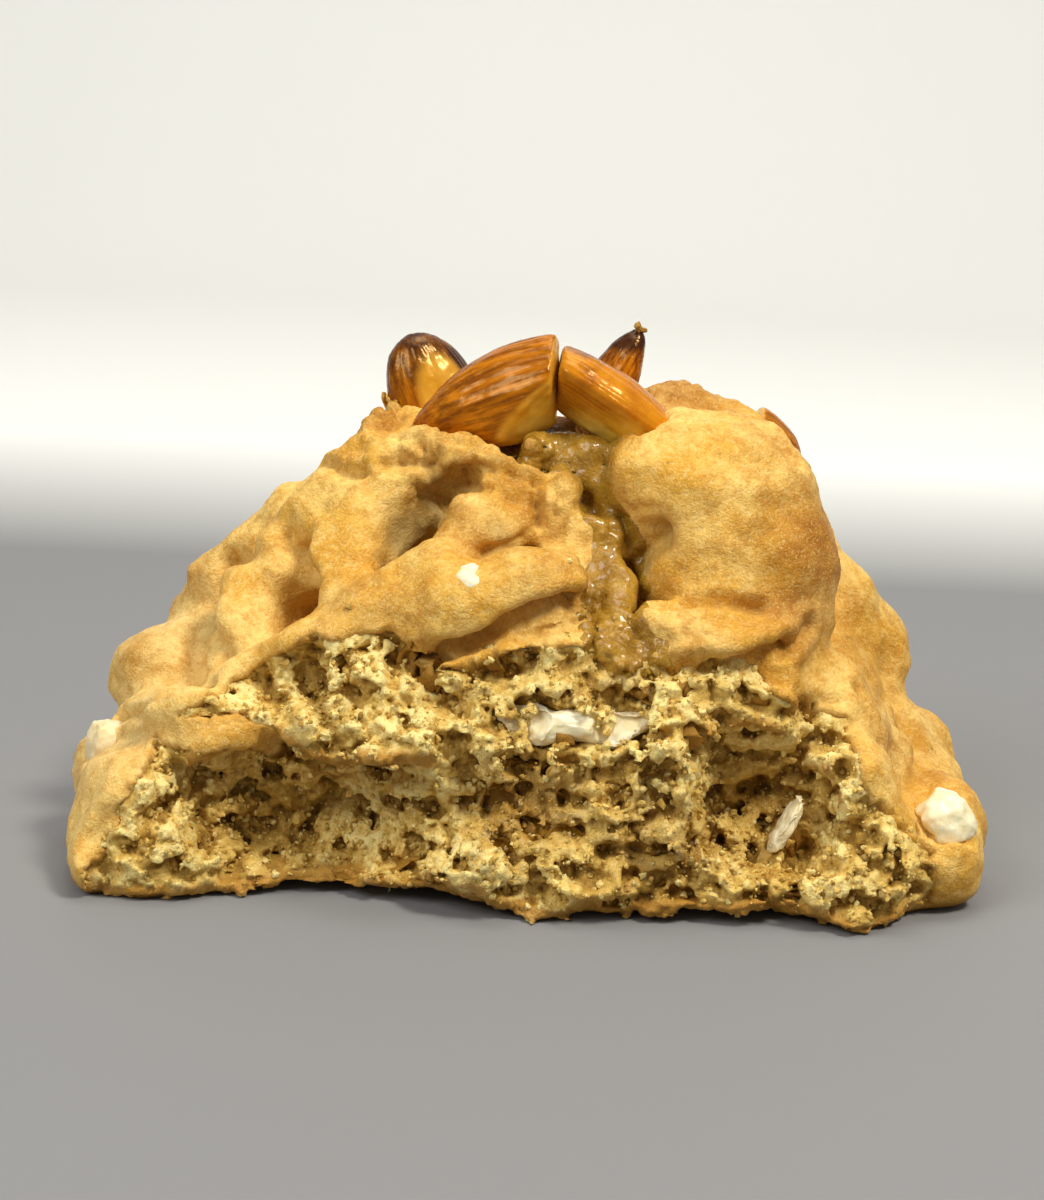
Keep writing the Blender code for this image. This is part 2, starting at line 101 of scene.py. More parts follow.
# Hollows between the folds: a path over the skin, its reach and its depth in millimetres
HOLLOWS = [
    ([(-13, -10.2, 38.4), (-11, -11, 40.4), (-9.2, -11.4, 42)], 1.8, 2.6),
    ([(-17.4, -13, 33.6), (-15.8, -11.5, 35), (-14.2, -10.4, 36.8)], 2.4, -2.8),
    ([(-10.5, -12.6, 38.6), (-8.4, -13.4, 39)], 2.4, -1.9),
    ([(-18.5, -14, 36), (-19.5, -16, 32.5)], 2.2, -1.2),
    ([(-8.5, -15.8, 37.2), (-4.9, -16.4, 36.9), (-2.4, -15, 38.2)], 1.7, -1.7),
    ([(-10, -26.5, 32), (-6, -27, 33.6), (-2, -26, 35.4), (1.6, -25, 35.6)], 3.2, -1.0),
    ([(-29.3, -9.8, 35.9), (-28.1, -10.9, 34.5), (-26.4, -12, 33.4)], 1.5, 2.2),
    ([(-26, -13, 33), (-25, -17, 31.6), (-25.6, -18, 29), (-27.2, -20, 26.8)], 1.3, 1.6),
    ([(-36, -4, 30), (-36.5, -6, 27), (-35.4, -14, 25.6), (-34, -19, 23)], 1.3, 1.5),
    ([(-36, -4, 31), (-32.7, -9.4, 33), (-29.6, -11.4, 34)], 1.1, 0.9),
    ([(13.2, -16.4, 39), (11.2, -15.2, 36.8), (9.6, -14.2, 34.4), (8.4, -13.6, 32)], 1.5, 2.2),
    ([(23, -26, 26.8), (24.4, -25.6, 27)], 1.5, 2.4),
    ([(5.5, -3, 46.6), (5, -6.9, 40.4), (5.5, -11.1, 37.8), (6.5, -12.2, 34.7),
      (7.8, -12.6, 30)], 1.3, 1.3),
    ([(42, -1, 21.8), (43, -5, 15.9), (44, -15, 11.9), (43.2, -26, 8.6)], 1.4, 1.0),
    ([(-38.4, -7.3, 23.9), (-38, -12, 21.6), (-38.4, -18, 20)], 1.3, 1.2),
    ([(12, -18, 33.4), (15, -19, 35)], 3.2, -0.8),
    ([(-8, -15.6, 38.6), (-4, -13.6, 41.2), (-2, -13, 41.6)], 2.2, -0.7),
    ([(-40, -24, 17.6), (-31, -27, 18.4), (-20, -28, 17.6)], 1.7, -1.5),
    ([(-31, -26, 23.4), (-23, -27, 24.4)], 1.7, 1.6),
    ([(22, -29, 17), (25, -29, 13), (26.6, -29, 9.5)], 3.8, 2.4),
    ([(-29, -29, 9), (-20, -29, 8), (-13, -29, 8)], 4.6, 1.9),
]
# Dough and chopped nut under the caramel in the gully: centre and radius
GULLY_FILL = [
    ((-1.2, -8.6, 46.1), 1.8), ((5.2, -8.8, 46.2), 1.7), ((4.8, -13.2, 38), 2.5),
    ((5.3, -14.8, 34.6), 2.6), ((5.8, -16.6, 31.4), 2.7), ((6.4, -19.4, 28.6), 2.8),
]
# The dough that closes round the foot of the small almond, which stands in it: centre and radius
TIP_SEAT = [((5.0, 7.4, 44.8), 3.8)]
# Where the front edge curls up off the floor: middle, half width and height
LIFTS = [(-15, 20, 0.9), (20, 13, 0.8)]
# Creases where two folds meet: a path over the skin, its reach and its depth in millimetres
CREASES = [
    ([(-6.9, -16.6, 36.7), (-4.9, -16.4, 36.9), (-2.4, -15, 38.2)], 0.6, 0.4),
    ([(-12, -27.5, 26.4), (-8.9, -26.6, 27.5), (-6.1, -26.3, 28.7), (-3.3, -26.8, 30.4),
      (-0.5, -26.2, 31.8), (2.3, -25.2, 33), (5, -22, 32.5)], 0.9, 2.3),
    ([(11.6, -21.5, 29.4), (13, -22.5, 31), (15.2, -22, 31.8), (19.3, -22.4, 32.8),
      (23.7, -21.8, 32.2)], 0.7, 1.2),
    ([(12, -27.9, 26.4), (16.2, -27.1, 26.6), (20.5, -26.6, 27.2), (23.9, -25.8, 27.4),
      (26.4, -24.4, 29.3)], 0.8, 1.8),
    ([(30, -20.5, 30.6), (28.7, -22.6, 29.7), (26.4, -24.4, 28.2)], 0.8, 1.3),
    ([(-46, -17, 15.5), (-41.6, -23.4, 17.9), (-37.1, -24.3, 19.7), (-34.6, -23.1, 20.6)], 0.7, 1.0),
    ([(-17.6, -10.5, 44), (-15, -10, 44.3), (-12.5, -10.8, 43.7), (-11.7, -10.5, 45.4)], 0.7, 1.2),
    ([(-9.9, -11.3, 42.8), (-8.3, -11.7, 44), (-5, -12.1, 44.3), (-2.4, -11.8, 43.2)], 0.7, 1.0),
    ([(-12.4, -10.8, 43.6), (-13.4, -10.1, 45.2), (-14, -9.5, 46.2)], 0.7, 1.0),
    ([(-24, -4, 42), (-22.4, -7.5, 41.6), (-20, -9.4, 42.4)], 0.7, 0.8),
    ([(-1, -12, 43.1), (-0.8, -14, 41.5), (-0.4, -15.1, 39)], 0.6, 1.2),
    ([(8, -15.6, 39.5), (9.4, -16.6, 41), (11.4, -17.2, 41.4)], 0.5, 0.4),
    ([(33, -22.3, 22.6), (28.3, -25.5, 23.2), (24.9, -26.2, 25.5)], 0.8, 0.9),
    ([(36, -20, 24), (39, -22, 18), (41, -26, 12)], 0.6, 0.5),
    ([(16, 2, 52.4), (20.6, -4, 51.6), (24, -9, 50.4), (27, -12, 46.4)], 0.8, 0.9),
]

# Places that browned in the oven, and places painted grey, partly for flour from the hands and partly as
# painted shade in the pit and creases: centre, reach and strength
BROWNED = [
    ((30, -16, 38), 8.5, 1.1), ((27.5, -21, 32), 6, 0.9), ((25, -11, 48), 6, 0.5), ((30, 4, 46), 8, 0.7),
    ((4, -24, 35), 4.5, 0.4), ((-3, -22, 38.5), 4, 0.5), ((-3, -13, 43), 4, 0.6), ((-12, -8, 46), 5, 0.4),
    ((-19, -2, 48), 4, 0.8), ((-14, -25, 31), 5, 0.5), ((-31, -6, 34), 5, 0.4), ((-40, 1, 29), 5, 0.6),
    ((-46, -8, 21), 6, 0.35), ((38, -6, 26), 6, 0.6), ((46, -6, 15), 7, 0.45), ((50, -16, 8), 6, 0.5),
    ((15, 3, 52.5), 8, 0.9), ((40, 8, 24), 7, 0.5), ((-49, -18, 8), 6, 0.25), ((0, 22, 40), 12, 0.5),
    ((-30, 20, 22), 10, 0.5), ((28, 24, 20), 10, 0.55), ((0, 34, 12), 12, 0.5), ((36, -16, 22), 4, 0.5),
    ((1, -24, 36), 4.5, 0.6), ((16, -26, 28), 6, 0.5), ((-19, -22, 31), 6, 0.6), ((-10, -17, 38), 5, 0.6),
    ((-1.5, -14, 40.5), 3, 0.7), ((-22, -6, 44), 4, 0.4), ((22, -24, 30), 4, 0.35),
    ((46, -12, 14.5), 4.5, 0.8), ((40.5, -19, 17), 3.6, 0.9),
]
FLOUR_AND_SHADE = [
    ((-14.5, -11, 36), 4.5, 1.0), ((-11.5, -10.5, 40), 3.4, 1.0), ((-10, -10.8, 42.4), 2.6, 0.7),
    ((-26.5, -15, 30), 3.4, 0.8), ((-37, -8, 25), 4, 0.6), ((9.5, -14.5, 34.5), 3.4, 0.7),
    ((14, -16, 39), 3, 0.45), ((-44, -22, 14), 3, 0.4), ((-40, -24, 17), 3, 0.3),
    ((-5, -16.5, 37.4), 2.6, 0.6),
]
# Painted light: places where the skin is painted paler, mostly on the left flank, standing in for the light
# that falls there
PAINTED_LIGHT = [
    ((-44, -18, 12), 13, 1.0), ((-41, -6, 22), 9, 0.9), ((-34, -18, 20), 8, 0.6), ((36, -18, 18), 6, 0.4),
]
# Where caramel has soaked into the crumb or lies as a film on the skin
SOAKED = [
    ((14, -30, 8.5), 7.5, 0.8), ((-0.5, -30, 11.5), 7, 1.0), ((6, -20, 33), 5, 1.0),
    ((6, -12, 43), 5, 1.0), ((9, -26, 27.5), 4.5, 0.9), ((2, -8, 47), 6, 0.8), ((5, -28, 23.5), 4, 0.5),
    ((22, -28, 5), 5, 0.5),
]


def closed_copy(node, inset=0.0):
    """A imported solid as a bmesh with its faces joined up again, smaller by the inset in millimetres."""
    bm = bmesh.new()
    bm.from_mesh(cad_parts[node].data)
    bmesh.ops.remove_doubles(bm, verts=bm.verts, dist=0.00001)
    bm.normal_update()
    inward = [v.normal * v.calc_shell_factor() * inset * MM for v in bm.verts]
    for v, step in zip(bm.verts, inward):
        v.co -= step
    return bm


def join_in(bm, other):
    """Adds one bmesh to another."""
    carrier = bpy.data.meshes.new("carrier")
    other.to_mesh(carrier)
    other.free()
    bm.from_mesh(carrier)
    bpy.data.meshes.remove(carrier)


def add_piece(name, bm):
    """Turns a bmesh into a piece of the scene."""
    mesh = bpy.data.meshes.new(name)
    bm.to_mesh(mesh)
    bm.free()
    return in_scene(name, mesh)


def apply_modifiers(piece):
    """Replaces a piece's mesh by what its modifiers make."""
    bpy.context.view_layer.update()
    evaluated = piece.evaluated_get(bpy.context.evaluated_depsgraph_get())
    mesh = bpy.data.meshes.new_from_object(evaluated)
    piece.modifiers.clear()
    piece.data = mesh


def soften(piece, rounds, strength=0.5, group=""):
    """Smooths a piece's surface, all of it or one group of its points."""
    smoother = piece.modifiers.new("soften", "SMOOTH")
    smoother.vertex_group = group
    smoother.factor = strength
    smoother.iterations = rounds
    apply_modifiers(piece)


def reskin(piece, voxel):
    """Melts all that overlaps in a piece into one closed skin."""
    skin = piece.modifiers.new("skin", "REMESH")
    skin.mode = "VOXEL"
    skin.voxel_size = voxel * MM
    apply_modifiers(piece)


def fewer_faces(piece, most):
    """Brings a piece down to this many triangles, where it is flat or smooth first."""
    piece.data.calc_loop_triangles()
    thin = piece.modifiers.new("thin", "DECIMATE")
    thin.ratio = min(1.0, most / len(piece.data.loop_triangles))
    apply_modifiers(piece)


def read_points(piece, what="co"):
    """A piece's points in millimetres, or their normals."""
    flat = np.empty(3 * len(piece.data.vertices), dtype=np.float32)
    piece.data.vertices.foreach_get(what, flat)
    points = flat.reshape(-1, 3).astype(float)
    return points / MM if what == "co" else points


def surface_of(piece):
    """A piece's points and their normals."""
    return read_points(piece), read_points(piece, "normal")


def write_points(piece, points):
    piece.data.vertices.foreach_set("co", (points * MM).astype(np.float32).ravel())
    piece.data.update()


def raise_skin(piece, points, normals, height):
    """Moves a piece's points out along their normals, by a height for each in millimetres."""
    write_points(piece, points + normals * height[:, None])


def drawn_lots(cell, table):
    """The random numbers that belong to the cells of a lattice."""
    key = (cell[:, 0] * 73856093) ^ (cell[:, 1] * 19349663) ^ (cell[:, 2] * 83492791)
    return table[(key ^ (key >> 12)) & 4095]


def hills(points, size, seed):
    """Smooth uneven heights of about -1 to 1, with hills of this size in millimetres."""
    slopes = np.random.default_rng(seed).uniform(-1, 1, size=(4096, 3))
    place = points / size
    cell = np.floor(place).astype(np.int64)
    part = place - cell
    fade = part * part * (3 - 2 * part)
    total = np.zeros(len(points))
    for corner in np.ndindex(2, 2, 2):
        share = np.prod(np.where(corner, fade, 1 - fade), axis=1)
        total += share * np.einsum("ij,ij->i", drawn_lots(cell + corner, slopes), part - corner)
    return total * 1.7


def swirl(points, size, seeds):
    """A smooth uneven push of about -1 to 1 in each of the three directions."""
    return np.stack([hills(points, size, seed) for seed in seeds], axis=1)


def beads(points, size, seed):
    """Rounded beads packed side by side: 1 in the middle of each and about 0 in the creases between them."""
    spots = np.random.default_rng(seed).uniform(0.15, 0.85, size=(4096, 3))
    place = points / size
    cell = np.floor(place - 0.5).astype(np.int64)
    nearest = np.full(len(points), 9.0)
    for corner in np.ndindex(2, 2, 2):
        spot = cell + corner + drawn_lots(cell + corner, spots)
        nearest = np.minimum(nearest, np.sum((place - spot) ** 2, axis=1))
    return 1 - np.minimum(1, 1.6 * nearest)


def ease(low, high, values):
    """Goes smoothly from 0 at low to 1 at high."""
    share = np.clip((np.asarray(values) - low) / (high - low), 0, 1)
    return share * share * (3 - 2 * share)


def patches(points, places):
    """How strongly each point lies in one of some round patches."""
    share = np.zeros(len(points))
    for centre, reach, strength in places:
        away = np.linalg.norm(points - np.array(centre, dtype=float), axis=1) / reach
        share = np.maximum(share, strength * np.exp(-(away**2)))
    return share


def mark(piece, **shares):
    """Writes numbers for each point of a piece, for its material to read."""
    for name, values in shares.items():
        layer = piece.data.attributes.new(name, "FLOAT", "POINT")
        layer.data.foreach_set("value", np.asarray(values, dtype=np.float32))


def off_line(places, line):
    """How far each place is from a bent line in a plane."""
    gap = np.full(len(places), 1e9)
    for a, b in zip(line, line[1:]):
        along = np.clip((places - a) @ (b - a) / ((b - a) @ (b - a)), 0, 1)
        gap = np.minimum(gap, np.linalg.norm(places - a - along[:, None] * (b - a), axis=1))
    return gap


def inside_edge(points):
    """How far inside the skin's ragged edge each point is, seen from the front, in millimetres."""
    edge, seen = np.array(SKIN_EDGE, dtype=float), points[:, [0, 2]]
    gap = off_line(seen, edge)
    gap[seen[:, 1] > np.interp(seen[:, 0], *edge.T, left=-1, right=-1)] *= -1
    gap = np.minimum(gap, off_line(seen, np.array(FLAP, dtype=float)) - FLAP_HALF)
    return gap + 0.5 * hills(points, 4.5, 21) + 0.55 * hills(points, 1.7, 22) + 0.35 * hills(points, 0.8, 23)


def torn_share(points):
    """How torn the cookie is at each point: 0 on the baked skin and 1 on the open crumb."""
    back = np.interp(points[:, 0], *np.array(TORN_BACK, dtype=float).T)
    return ease(0.0, 0.9, inside_edge(points)) * ease(0.8, -0.8, points[:, 1] - back)


def tree_of(piece):
    return BVHTree.FromObject(piece, bpy.context.evaluated_depsgraph_get())


def nearest_of(points):
    """A tree that finds the nearest of some points."""
    tree = KDTree(len(points))
    for i, p in enumerate(points.tolist()):
        tree.insert(p, i)
    tree.balance()
    return tree


def distances(points, tree):
    """How far each point is outside a closed surface, in millimetres, and below nought inside it."""
    gaps = []
    for p in (points * MM).tolist():
        place, facing, _, gap = tree.find_nearest(p)
        gaps.append(math.copysign(gap, (Vector(p) - place).dot(facing)))
    return np.array(gaps) / MM


def laid_on(points, tree):
    """The nearest places on a surface, in millimetres."""
    return np.array([tree.find_nearest(p)[0] for p in (points * MM).tolist()]) / MM


def pressed(points, tree, paths):
    """Heights of the folds: down in each crease, and a little up along both of its sides."""
    height = np.zeros(len(points))
    for path, reach, deep in paths:
        path = np.array(path, dtype=float)
        steps = np.linspace(0, len(path) - 1, 8 * len(path))
        line = np.stack([np.interp(steps, np.arange(len(path)), path[:, k]) for k in range(3)], axis=1)
        line = laid_on(line, tree)
        low, high = line.min(axis=0) - 5 * reach, line.max(axis=0) + 5 * reach
        near = np.flatnonzero(np.all((points > low) & (points < high), axis=1))
        gap = np.full(len(near), 1e9)
        for spot in line:
            gap = np.minimum(gap, np.linalg.norm(points[near] - spot, axis=1))
        gap /= reach
        height[near] += deep * (0.22 * np.exp(-((gap - 2.3) ** 2)) - np.exp(-(gap**2)))
    return height


# The beds that hold the caramel, the chocolate and the almonds close up round them
bm = closed_copy("dough")
BEDS = {
    "caramel_core": 0.0, "caramel_run": 0.7, "chunk_melted": 0.0, "chunk_pocket": 0.3, "chunk_left": 0.8,
    "chunk_right": 0.8, "chunk_crust": 0.2, "almond_front": 0.9, "almond_middle": 0.9, "almond_back": 0.9,
    "almond_tip": 0.9, "almond_rear": 0.9,
}
for node, inset in BEDS.items():
    join_in(bm, closed_copy(node, inset))
for middle, radius in GULLY_FILL + TIP_SEAT:
    place = Matrix.Translation(Vector(middle) * MM)
    bmesh.ops.create_icosphere(bm, subdivisions=3, radius=radius * MM, matrix=place)
dough = add_piece("cookie_dough", bm)
reskin(dough, FIRST_VOXEL)
soften(dough, rounds=7)
points = read_points(dough)
for middle, half_width, lift in LIFTS:
    share = ease(1, 0.35, np.abs(points[:, 0] - middle) / half_width) * ease(-13, -24, points[:, 1])
    points[:, 2] += lift * share * ease(9, 0, points[:, 2])
write_points(dough, points)

# The folds' unevenness and the hollows between them
normals = read_points(dough, "normal")
height = 0.4 * hills(points, 6.5, 3) + 0.22 * hills(points, 3.2, 5)
height += pressed(points, tree_of(dough), HOLLOWS)
height *= ease(0.3, 2.5, points[:, 2])
raise_skin(dough, points, normals, height)
reskin(dough, SKIN_VOXEL)
soften(dough, rounds=3)

# Crags, creases and the skin's own grain
points, normals = surface_of(dough)
craggy = patches(points, [
    ((-10, -8, 46), 8, 1.0), ((-18, -3, 47), 6, 1.0), ((0, -12, 42), 4, 0.9), ((5, -24, 28), 6, 0.9),
    ((-3, -10, 46), 5, 0.9), ((-24, -8, 40), 4, 0.4), ((14, -25, 27), 4, 0.5), ((16, 4, 53), 6, 0.5),
])
height = pressed(points, tree_of(dough), CREASES)
height += 0.12 * hills(points, 2.6, 6) + 0.12 * hills(points, 1.5, 7) + 0.09 * hills(points, 0.85, 8)
height -= 0.1 * ease(0.1, 0.0, np.abs(hills(points, 3.4, 9))) * ease(-0.1, 0.5, hills(points, 9, 10))
knobs = points + 0.8 * swirl(points, 2.4, (13, 14, 15))
clumps = 1.5 * beads(knobs, 3.3, 4) - 0.95 + 0.6 * beads(knobs, 1.5, 11) + 0.35 * hills(points, 0.8, 12)
height += craggy * clumps
height *= ease(0.3, 1.2, points[:, 2])
points += normals * height[:, None]
write_points(dough, points)
whole_tree = tree_of(dough)

# The torn face lies back behind the skin's edge
torn, normals = torn_share(points), read_points(dough, "normal")
room = np.full(len(points), TORN_DEPTH)
for i in np.flatnonzero(torn > 0.01):
    gap = whole_tree.ray_cast((points[i] - 0.05 * normals[i]) * MM, -normals[i], ROOM_REACH * MM)[3]
    room[i] = TORN_DEPTH if gap is None else min(TORN_DEPTH, ROOM_SHARE * gap / MM)
room_tree = nearest_of(points)
points -= normals * (torn * room * ease(0.1, 0.9, points[:, 2]))[:, None]
points[:, 2] = np.maximum(points[:, 2], 0)
write_points(dough, points)
dough.vertex_groups.new(name="torn").add(np.flatnonzero(torn > 0.97).tolist(), 1.0, "REPLACE")
soften(dough, rounds=12, group="torn")
dough.vertex_groups.clear()
points = read_points(dough)
fine_tree = nearest_of(points)
soft_copy = in_scene("soft_copy", dough.data.copy())
soften(soft_copy, rounds=26, strength=0.6)
relief = np.einsum("ij,ij->i", points - read_points(soft_copy), read_points(dough, "normal"))
bpy.data.objects.remove(soft_copy)
fewer_faces(dough, SKIN_TRIANGLES)

# What the material reads: torn dough, the relief that browns the folds and sets painted shade in the
# hollows, browning, grey flour with painted shade, painted light, soaked caramel and the base
points, normals = surface_of(dough)
relief = relief[[fine_tree.find(p)[1] for p in points.tolist()]]
sunk_share = ease(0.8, 1.6, -distances(points, whole_tree))
mark(
    dough,
    torn=np.maximum(sunk_share, ease(0.7, 1.0, torn_share(points))),
    relief=np.clip(relief, -1.2, 1.2) * 0.5 + 0.5,
    browned=patches(points, BROWNED),
    floured=patches(points, FLOUR_AND_SHADE),
    soaked=patches(points, SOAKED),
    pale=patches(points, PAINTED_LIGHT),
    base=ease(1.6, -0.4, points[:, 2] - 1.0 - 0.7 * hills(points, 3.0, 31)),
)


def paint(red, green, blue):
    """A colour as it is seen on a screen, turned into the light that a surface sends back."""
    shares = [c / 255 for c in (red, green, blue)]
    return (*[c / 12.92 if c < 0.0405 else ((c + 0.055) / 1.055) ** 2.4 for c in shares], 1)


def new_material(name, **facts):
    """A material with these constant values on its shader."""
    surface = bpy.data.materials.new(name)
    surface.use_nodes = True
    shader = surface.node_tree.nodes["Principled BSDF"]
    for socket, value in facts.items():
        shader.inputs[socket.replace("_", " ")].default_value = value
    return surface, surface.node_tree, shader


def plug(tree, socket, value):
    """Puts a number, a colour or another node's output on a socket."""
    if isinstance(value, bpy.types.NodeSocket):
        tree.links.new(value, socket)
    else:
        socket.default_value = value


def grain(tree, size, detail=2.0, roughness=0.5, where=None, stretch=(1, 1, 1)):
    """Uneven patches of this size in millimetres, as a number around a half."""
    if where is None:
        where = tree.nodes.new("ShaderNodeTexCoord").outputs["Object"]
        scale = 1 / MM / size
    else:
        scale = 1 / size
    place = tree.nodes.new("ShaderNodeMapping")
    place.inputs["Scale"].default_value = [scale / s for s in stretch]
    tree.links.new(where, place.inputs["Vector"])
    spots = tree.nodes.new("ShaderNodeTexNoise")
    spots.inputs["Scale"].default_value = 1
    spots.inputs["Detail"].default_value = detail
    spots.inputs["Roughness"].default_value = roughness
    tree.links.new(place.outputs["Vector"], spots.inputs["Vector"])
    return spots.outputs["Fac"]


def reading(tree, name):
    """The number that was marked on the piece's points."""
    node = tree.nodes.new("ShaderNodeAttribute")
    node.attribute_name = name
    return node.outputs["Fac"]


def between(tree, value, low, high, start=0.0, end=1.0):
    """Stretches the numbers from low to high over start to end, and holds them there."""
    node = tree.nodes.new("ShaderNodeMapRange")
    node.clamp = True
    plug(tree, node.inputs["Value"], value)
    for socket, number in zip(("From Min", "From Max", "To Min", "To Max"), (low, high, start, end)):
        node.inputs[socket].default_value = number
    return node.outputs["Result"]


def spread(tree, noise, start, end):
    """Lays a grain's usual range over start to end."""
    return between(tree, noise, 0.3, 0.7, start, end)


def reckon(tree, kind, a, b):
    """Adds, multiplies or otherwise combines two numbers."""
    node = tree.nodes.new("ShaderNodeMath")
    node.operation = kind
    plug(tree, node.inputs[0], a)
    plug(tree, node.inputs[1], b)
    return node.outputs["Value"]


def uneven(tree, share, noise, start, end):
    """A share made higher and lower in places by a grain."""
    return reckon(tree, "ADD", share, spread(tree, noise, start, end))


def blend(tree, share, a, b):
    """Mixes two colours by a share."""
    node = tree.nodes.new("ShaderNodeMix")
    node.data_type = "RGBA"
    plug(tree, node.inputs[0], share)
    plug(tree, node.inputs[6], a)
    plug(tree, node.inputs[7], b)
    return node.outputs[2]


def layered(tree, colour, layers):
    """Lays colours over a first one, each by its share and as it is seen on a screen."""
    for share, upper in layers:
        colour = blend(tree, share, colour, paint(*upper))
    return colour


def bumps(tree, layers):
    """Fine relief from several grains: each one's height from 0 to 1, depth in millimetres and strength."""
    normal = None
    for height, depth, strength in layers:
        node = tree.nodes.new("ShaderNodeBump")
        node.inputs["Distance"].default_value = depth * MM
        plug(tree, node.inputs["Strength"], strength)
        tree.links.new(height, node.inputs["Height"])
        if normal is not None:
            tree.links.new(normal, node.inputs["Normal"])
        normal = node.outputs["Normal"]
    return normal


def set_surface(tree, shader, colour, roughness, relief):
    """Links a material's colour, roughness and fine relief to its shader."""
    tree.links.new(colour, shader.inputs["Base Color"])
    tree.links.new(roughness, shader.inputs["Roughness"])
    tree.links.new(bumps(tree, relief), shader.inputs["Normal"])


def dress(piece, surface):
    """Gives a piece one material and smooth shading."""
    piece.data.materials.clear()
    piece.data.materials.append(surface)
    piece.data.shade_smooth()


baked, tree, shader = new_material(
    "baked_dough", Specular_IOR_Level=0.26, Specular_Tint=(1.0, 0.84, 0.55, 1),
    Subsurface_Weight=0.08, Subsurface_Scale=0.0008, Subsurface_Radius=(1.0, 0.55, 0.2),
)
relief_mark = reading(tree, "relief")
coarse, middle = grain(tree, 7, 3), grain(tree, 1.9, 4, 0.65)
speckle, fine = grain(tree, 0.75, 3, 0.7), grain(tree, 0.3, 2, 0.7)

# Pale gold, deeper gold in patches and speckles, paler as painted light, brown where it stands out, painted
# shade in the hollows, and grey where flour clings and as painted shade in the pit and creases
skin = blend(tree, between(tree, coarse, 0.4, 0.6), paint(240, 198, 108), paint(218, 162, 58))
skin = layered(tree, skin, [
    # Painted light: paler skin in the painted light patches
    (reading(tree, "pale"), (236, 202, 128)),
    (between(tree, middle, 0.46, 0.62, 0, 0.45), (208, 146, 46)),
    (between(tree, speckle, 0.52, 0.66, 0, 0.35), (206, 142, 52)),
    (between(tree, speckle, 0.48, 0.34, 0, 0.45), (246, 212, 136)),
])
spotted = uneven(tree, reading(tree, "browned"), middle, -0.25, 0.25)
spotted = reckon(tree, "ADD", spotted, between(tree, relief_mark, 0.5, 0.8, 0, 0.3))
skin = layered(tree, skin, [
    (between(tree, spotted, 0.1, 1.1, 0, 0.9), (160, 98, 26)),
    (between(tree, fine, 0.54, 0.68, 0, 0.3), (184, 130, 54)),
    (between(tree, fine, 0.46, 0.34, 0, 0.3), (250, 222, 146)),
    # Painted shade: the skin is painted darker in the hollows, where the relief mark is low
    (between(tree, relief_mark, 0.46, 0.2, 0, 0.5), (160, 120, 56)),
    # Grey partly for flour and partly as painted shade in the pit and creases
    (between(tree, reading(tree, "floured"), 0.1, 0.8, 0, 0.8), (144, 122, 74)),
])
wet = uneven(tree, reading(tree, "soaked"), middle, -0.25, 0.2)
wet = between(tree, wet, 0.25, 0.8)
skin = layered(tree, skin, [
    (reckon(tree, "MULTIPLY", wet, 0.6), (164, 114, 40)),
    (reckon(tree, "MULTIPLY", reading(tree, "base"), 0.8), (172, 118, 44)),
    (reading(tree, "torn"), (156, 112, 42)),
])
dry = spread(tree, fine, 0.46, 0.64)
dry = reckon(tree, "SUBTRACT", dry, reckon(tree, "MULTIPLY", wet, 0.36))
set_surface(tree, shader, skin, dry, [(speckle, 0.34, 0.6), (fine, 0.2, 0.8)])
dress(dough, baked)
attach(dough, "root")
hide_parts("dough")


# The torn crumb. Where the cookie was pulled apart, the inside came open in pale flaky clumps, painted
# darker deep between them as painted shade and paler on their tops as painted light. It is the same dough,
# joined to the skin all round.

COARSE_STEP = 0.75
FINER = 3
CRUMB_TRIANGLES = 196000
CRUMB_BACK = 4.4
BASE_REACH = 4.0
CRUMB_LEVEL = -2.85
FLAKE_HEIGHT = 1.8
CLUMP_HEIGHT = 1.8

# Places where the crumb lies further back or further forward: centre, reach and millimetres
DEEPER = [
    ((-1.5, -29, 11), 3.4, -0.9), ((-31, -26, 23.4), 3, -0.7), ((-24, -27, 25), 3, -0.7),
    ((-13, -27, 25.6), 3, -0.8), ((22, -28, 19), 4, -0.7), ((-38, -31, 6), 6, 0.4),
    ((28, -28, 22), 3, -0.8), ((-28, -24, 8), 5, -0.6), ((-24, -28, 17.4), 3, 1.1),
    ((-18, -28, 17.4), 3.4, 1.2),
]
# Painted shade: crumb painted darker in the recess, the pocket and other hollows where shade falls: centre,
# reach and strength
PAINTED_SHADE = [
    ((-29, -25, 7), 8, 1.0), ((-42, -32, 6), 5, 0.3), ((25, -22, 11), 7.5, 1.0), ((39, -29, 5), 7, 0.7),
    ((-3, -28, 21), 7, 0.4), ((13, -34, 1), 8, 1.0), ((22, -30, 20), 6, 0.6), ((8, -30, 9), 9, 0.6),
    ((-36, -26, 21), 5, 0.4), ((-9, -27, 7), 6, 0.5), ((-1, -30, 10.5), 5, 0.8), ((26, -30, 2), 6, 0.9),
]


def finer(grid, times):
    """The same field of numbers on a lattice this many times as fine."""
    for axis in range(3):
        rows = np.moveaxis(grid, axis, 0)
        steps = np.arange((len(rows) - 1) * times + 1) / times
        low = np.minimum(steps.astype(int), len(rows) - 2)
        share = (steps - low)[:, None, None]
        grid = np.moveaxis(rows[low] * (1 - share) + rows[low + 1] * share, 0, axis)
    return grid


def lattice_places(counts, step, corner):
    """Every place of a lattice, in millimetres."""
    return np.stack(np.meshgrid(*[np.arange(n) for n in counts], indexing="ij"), axis=-1) * step + corner


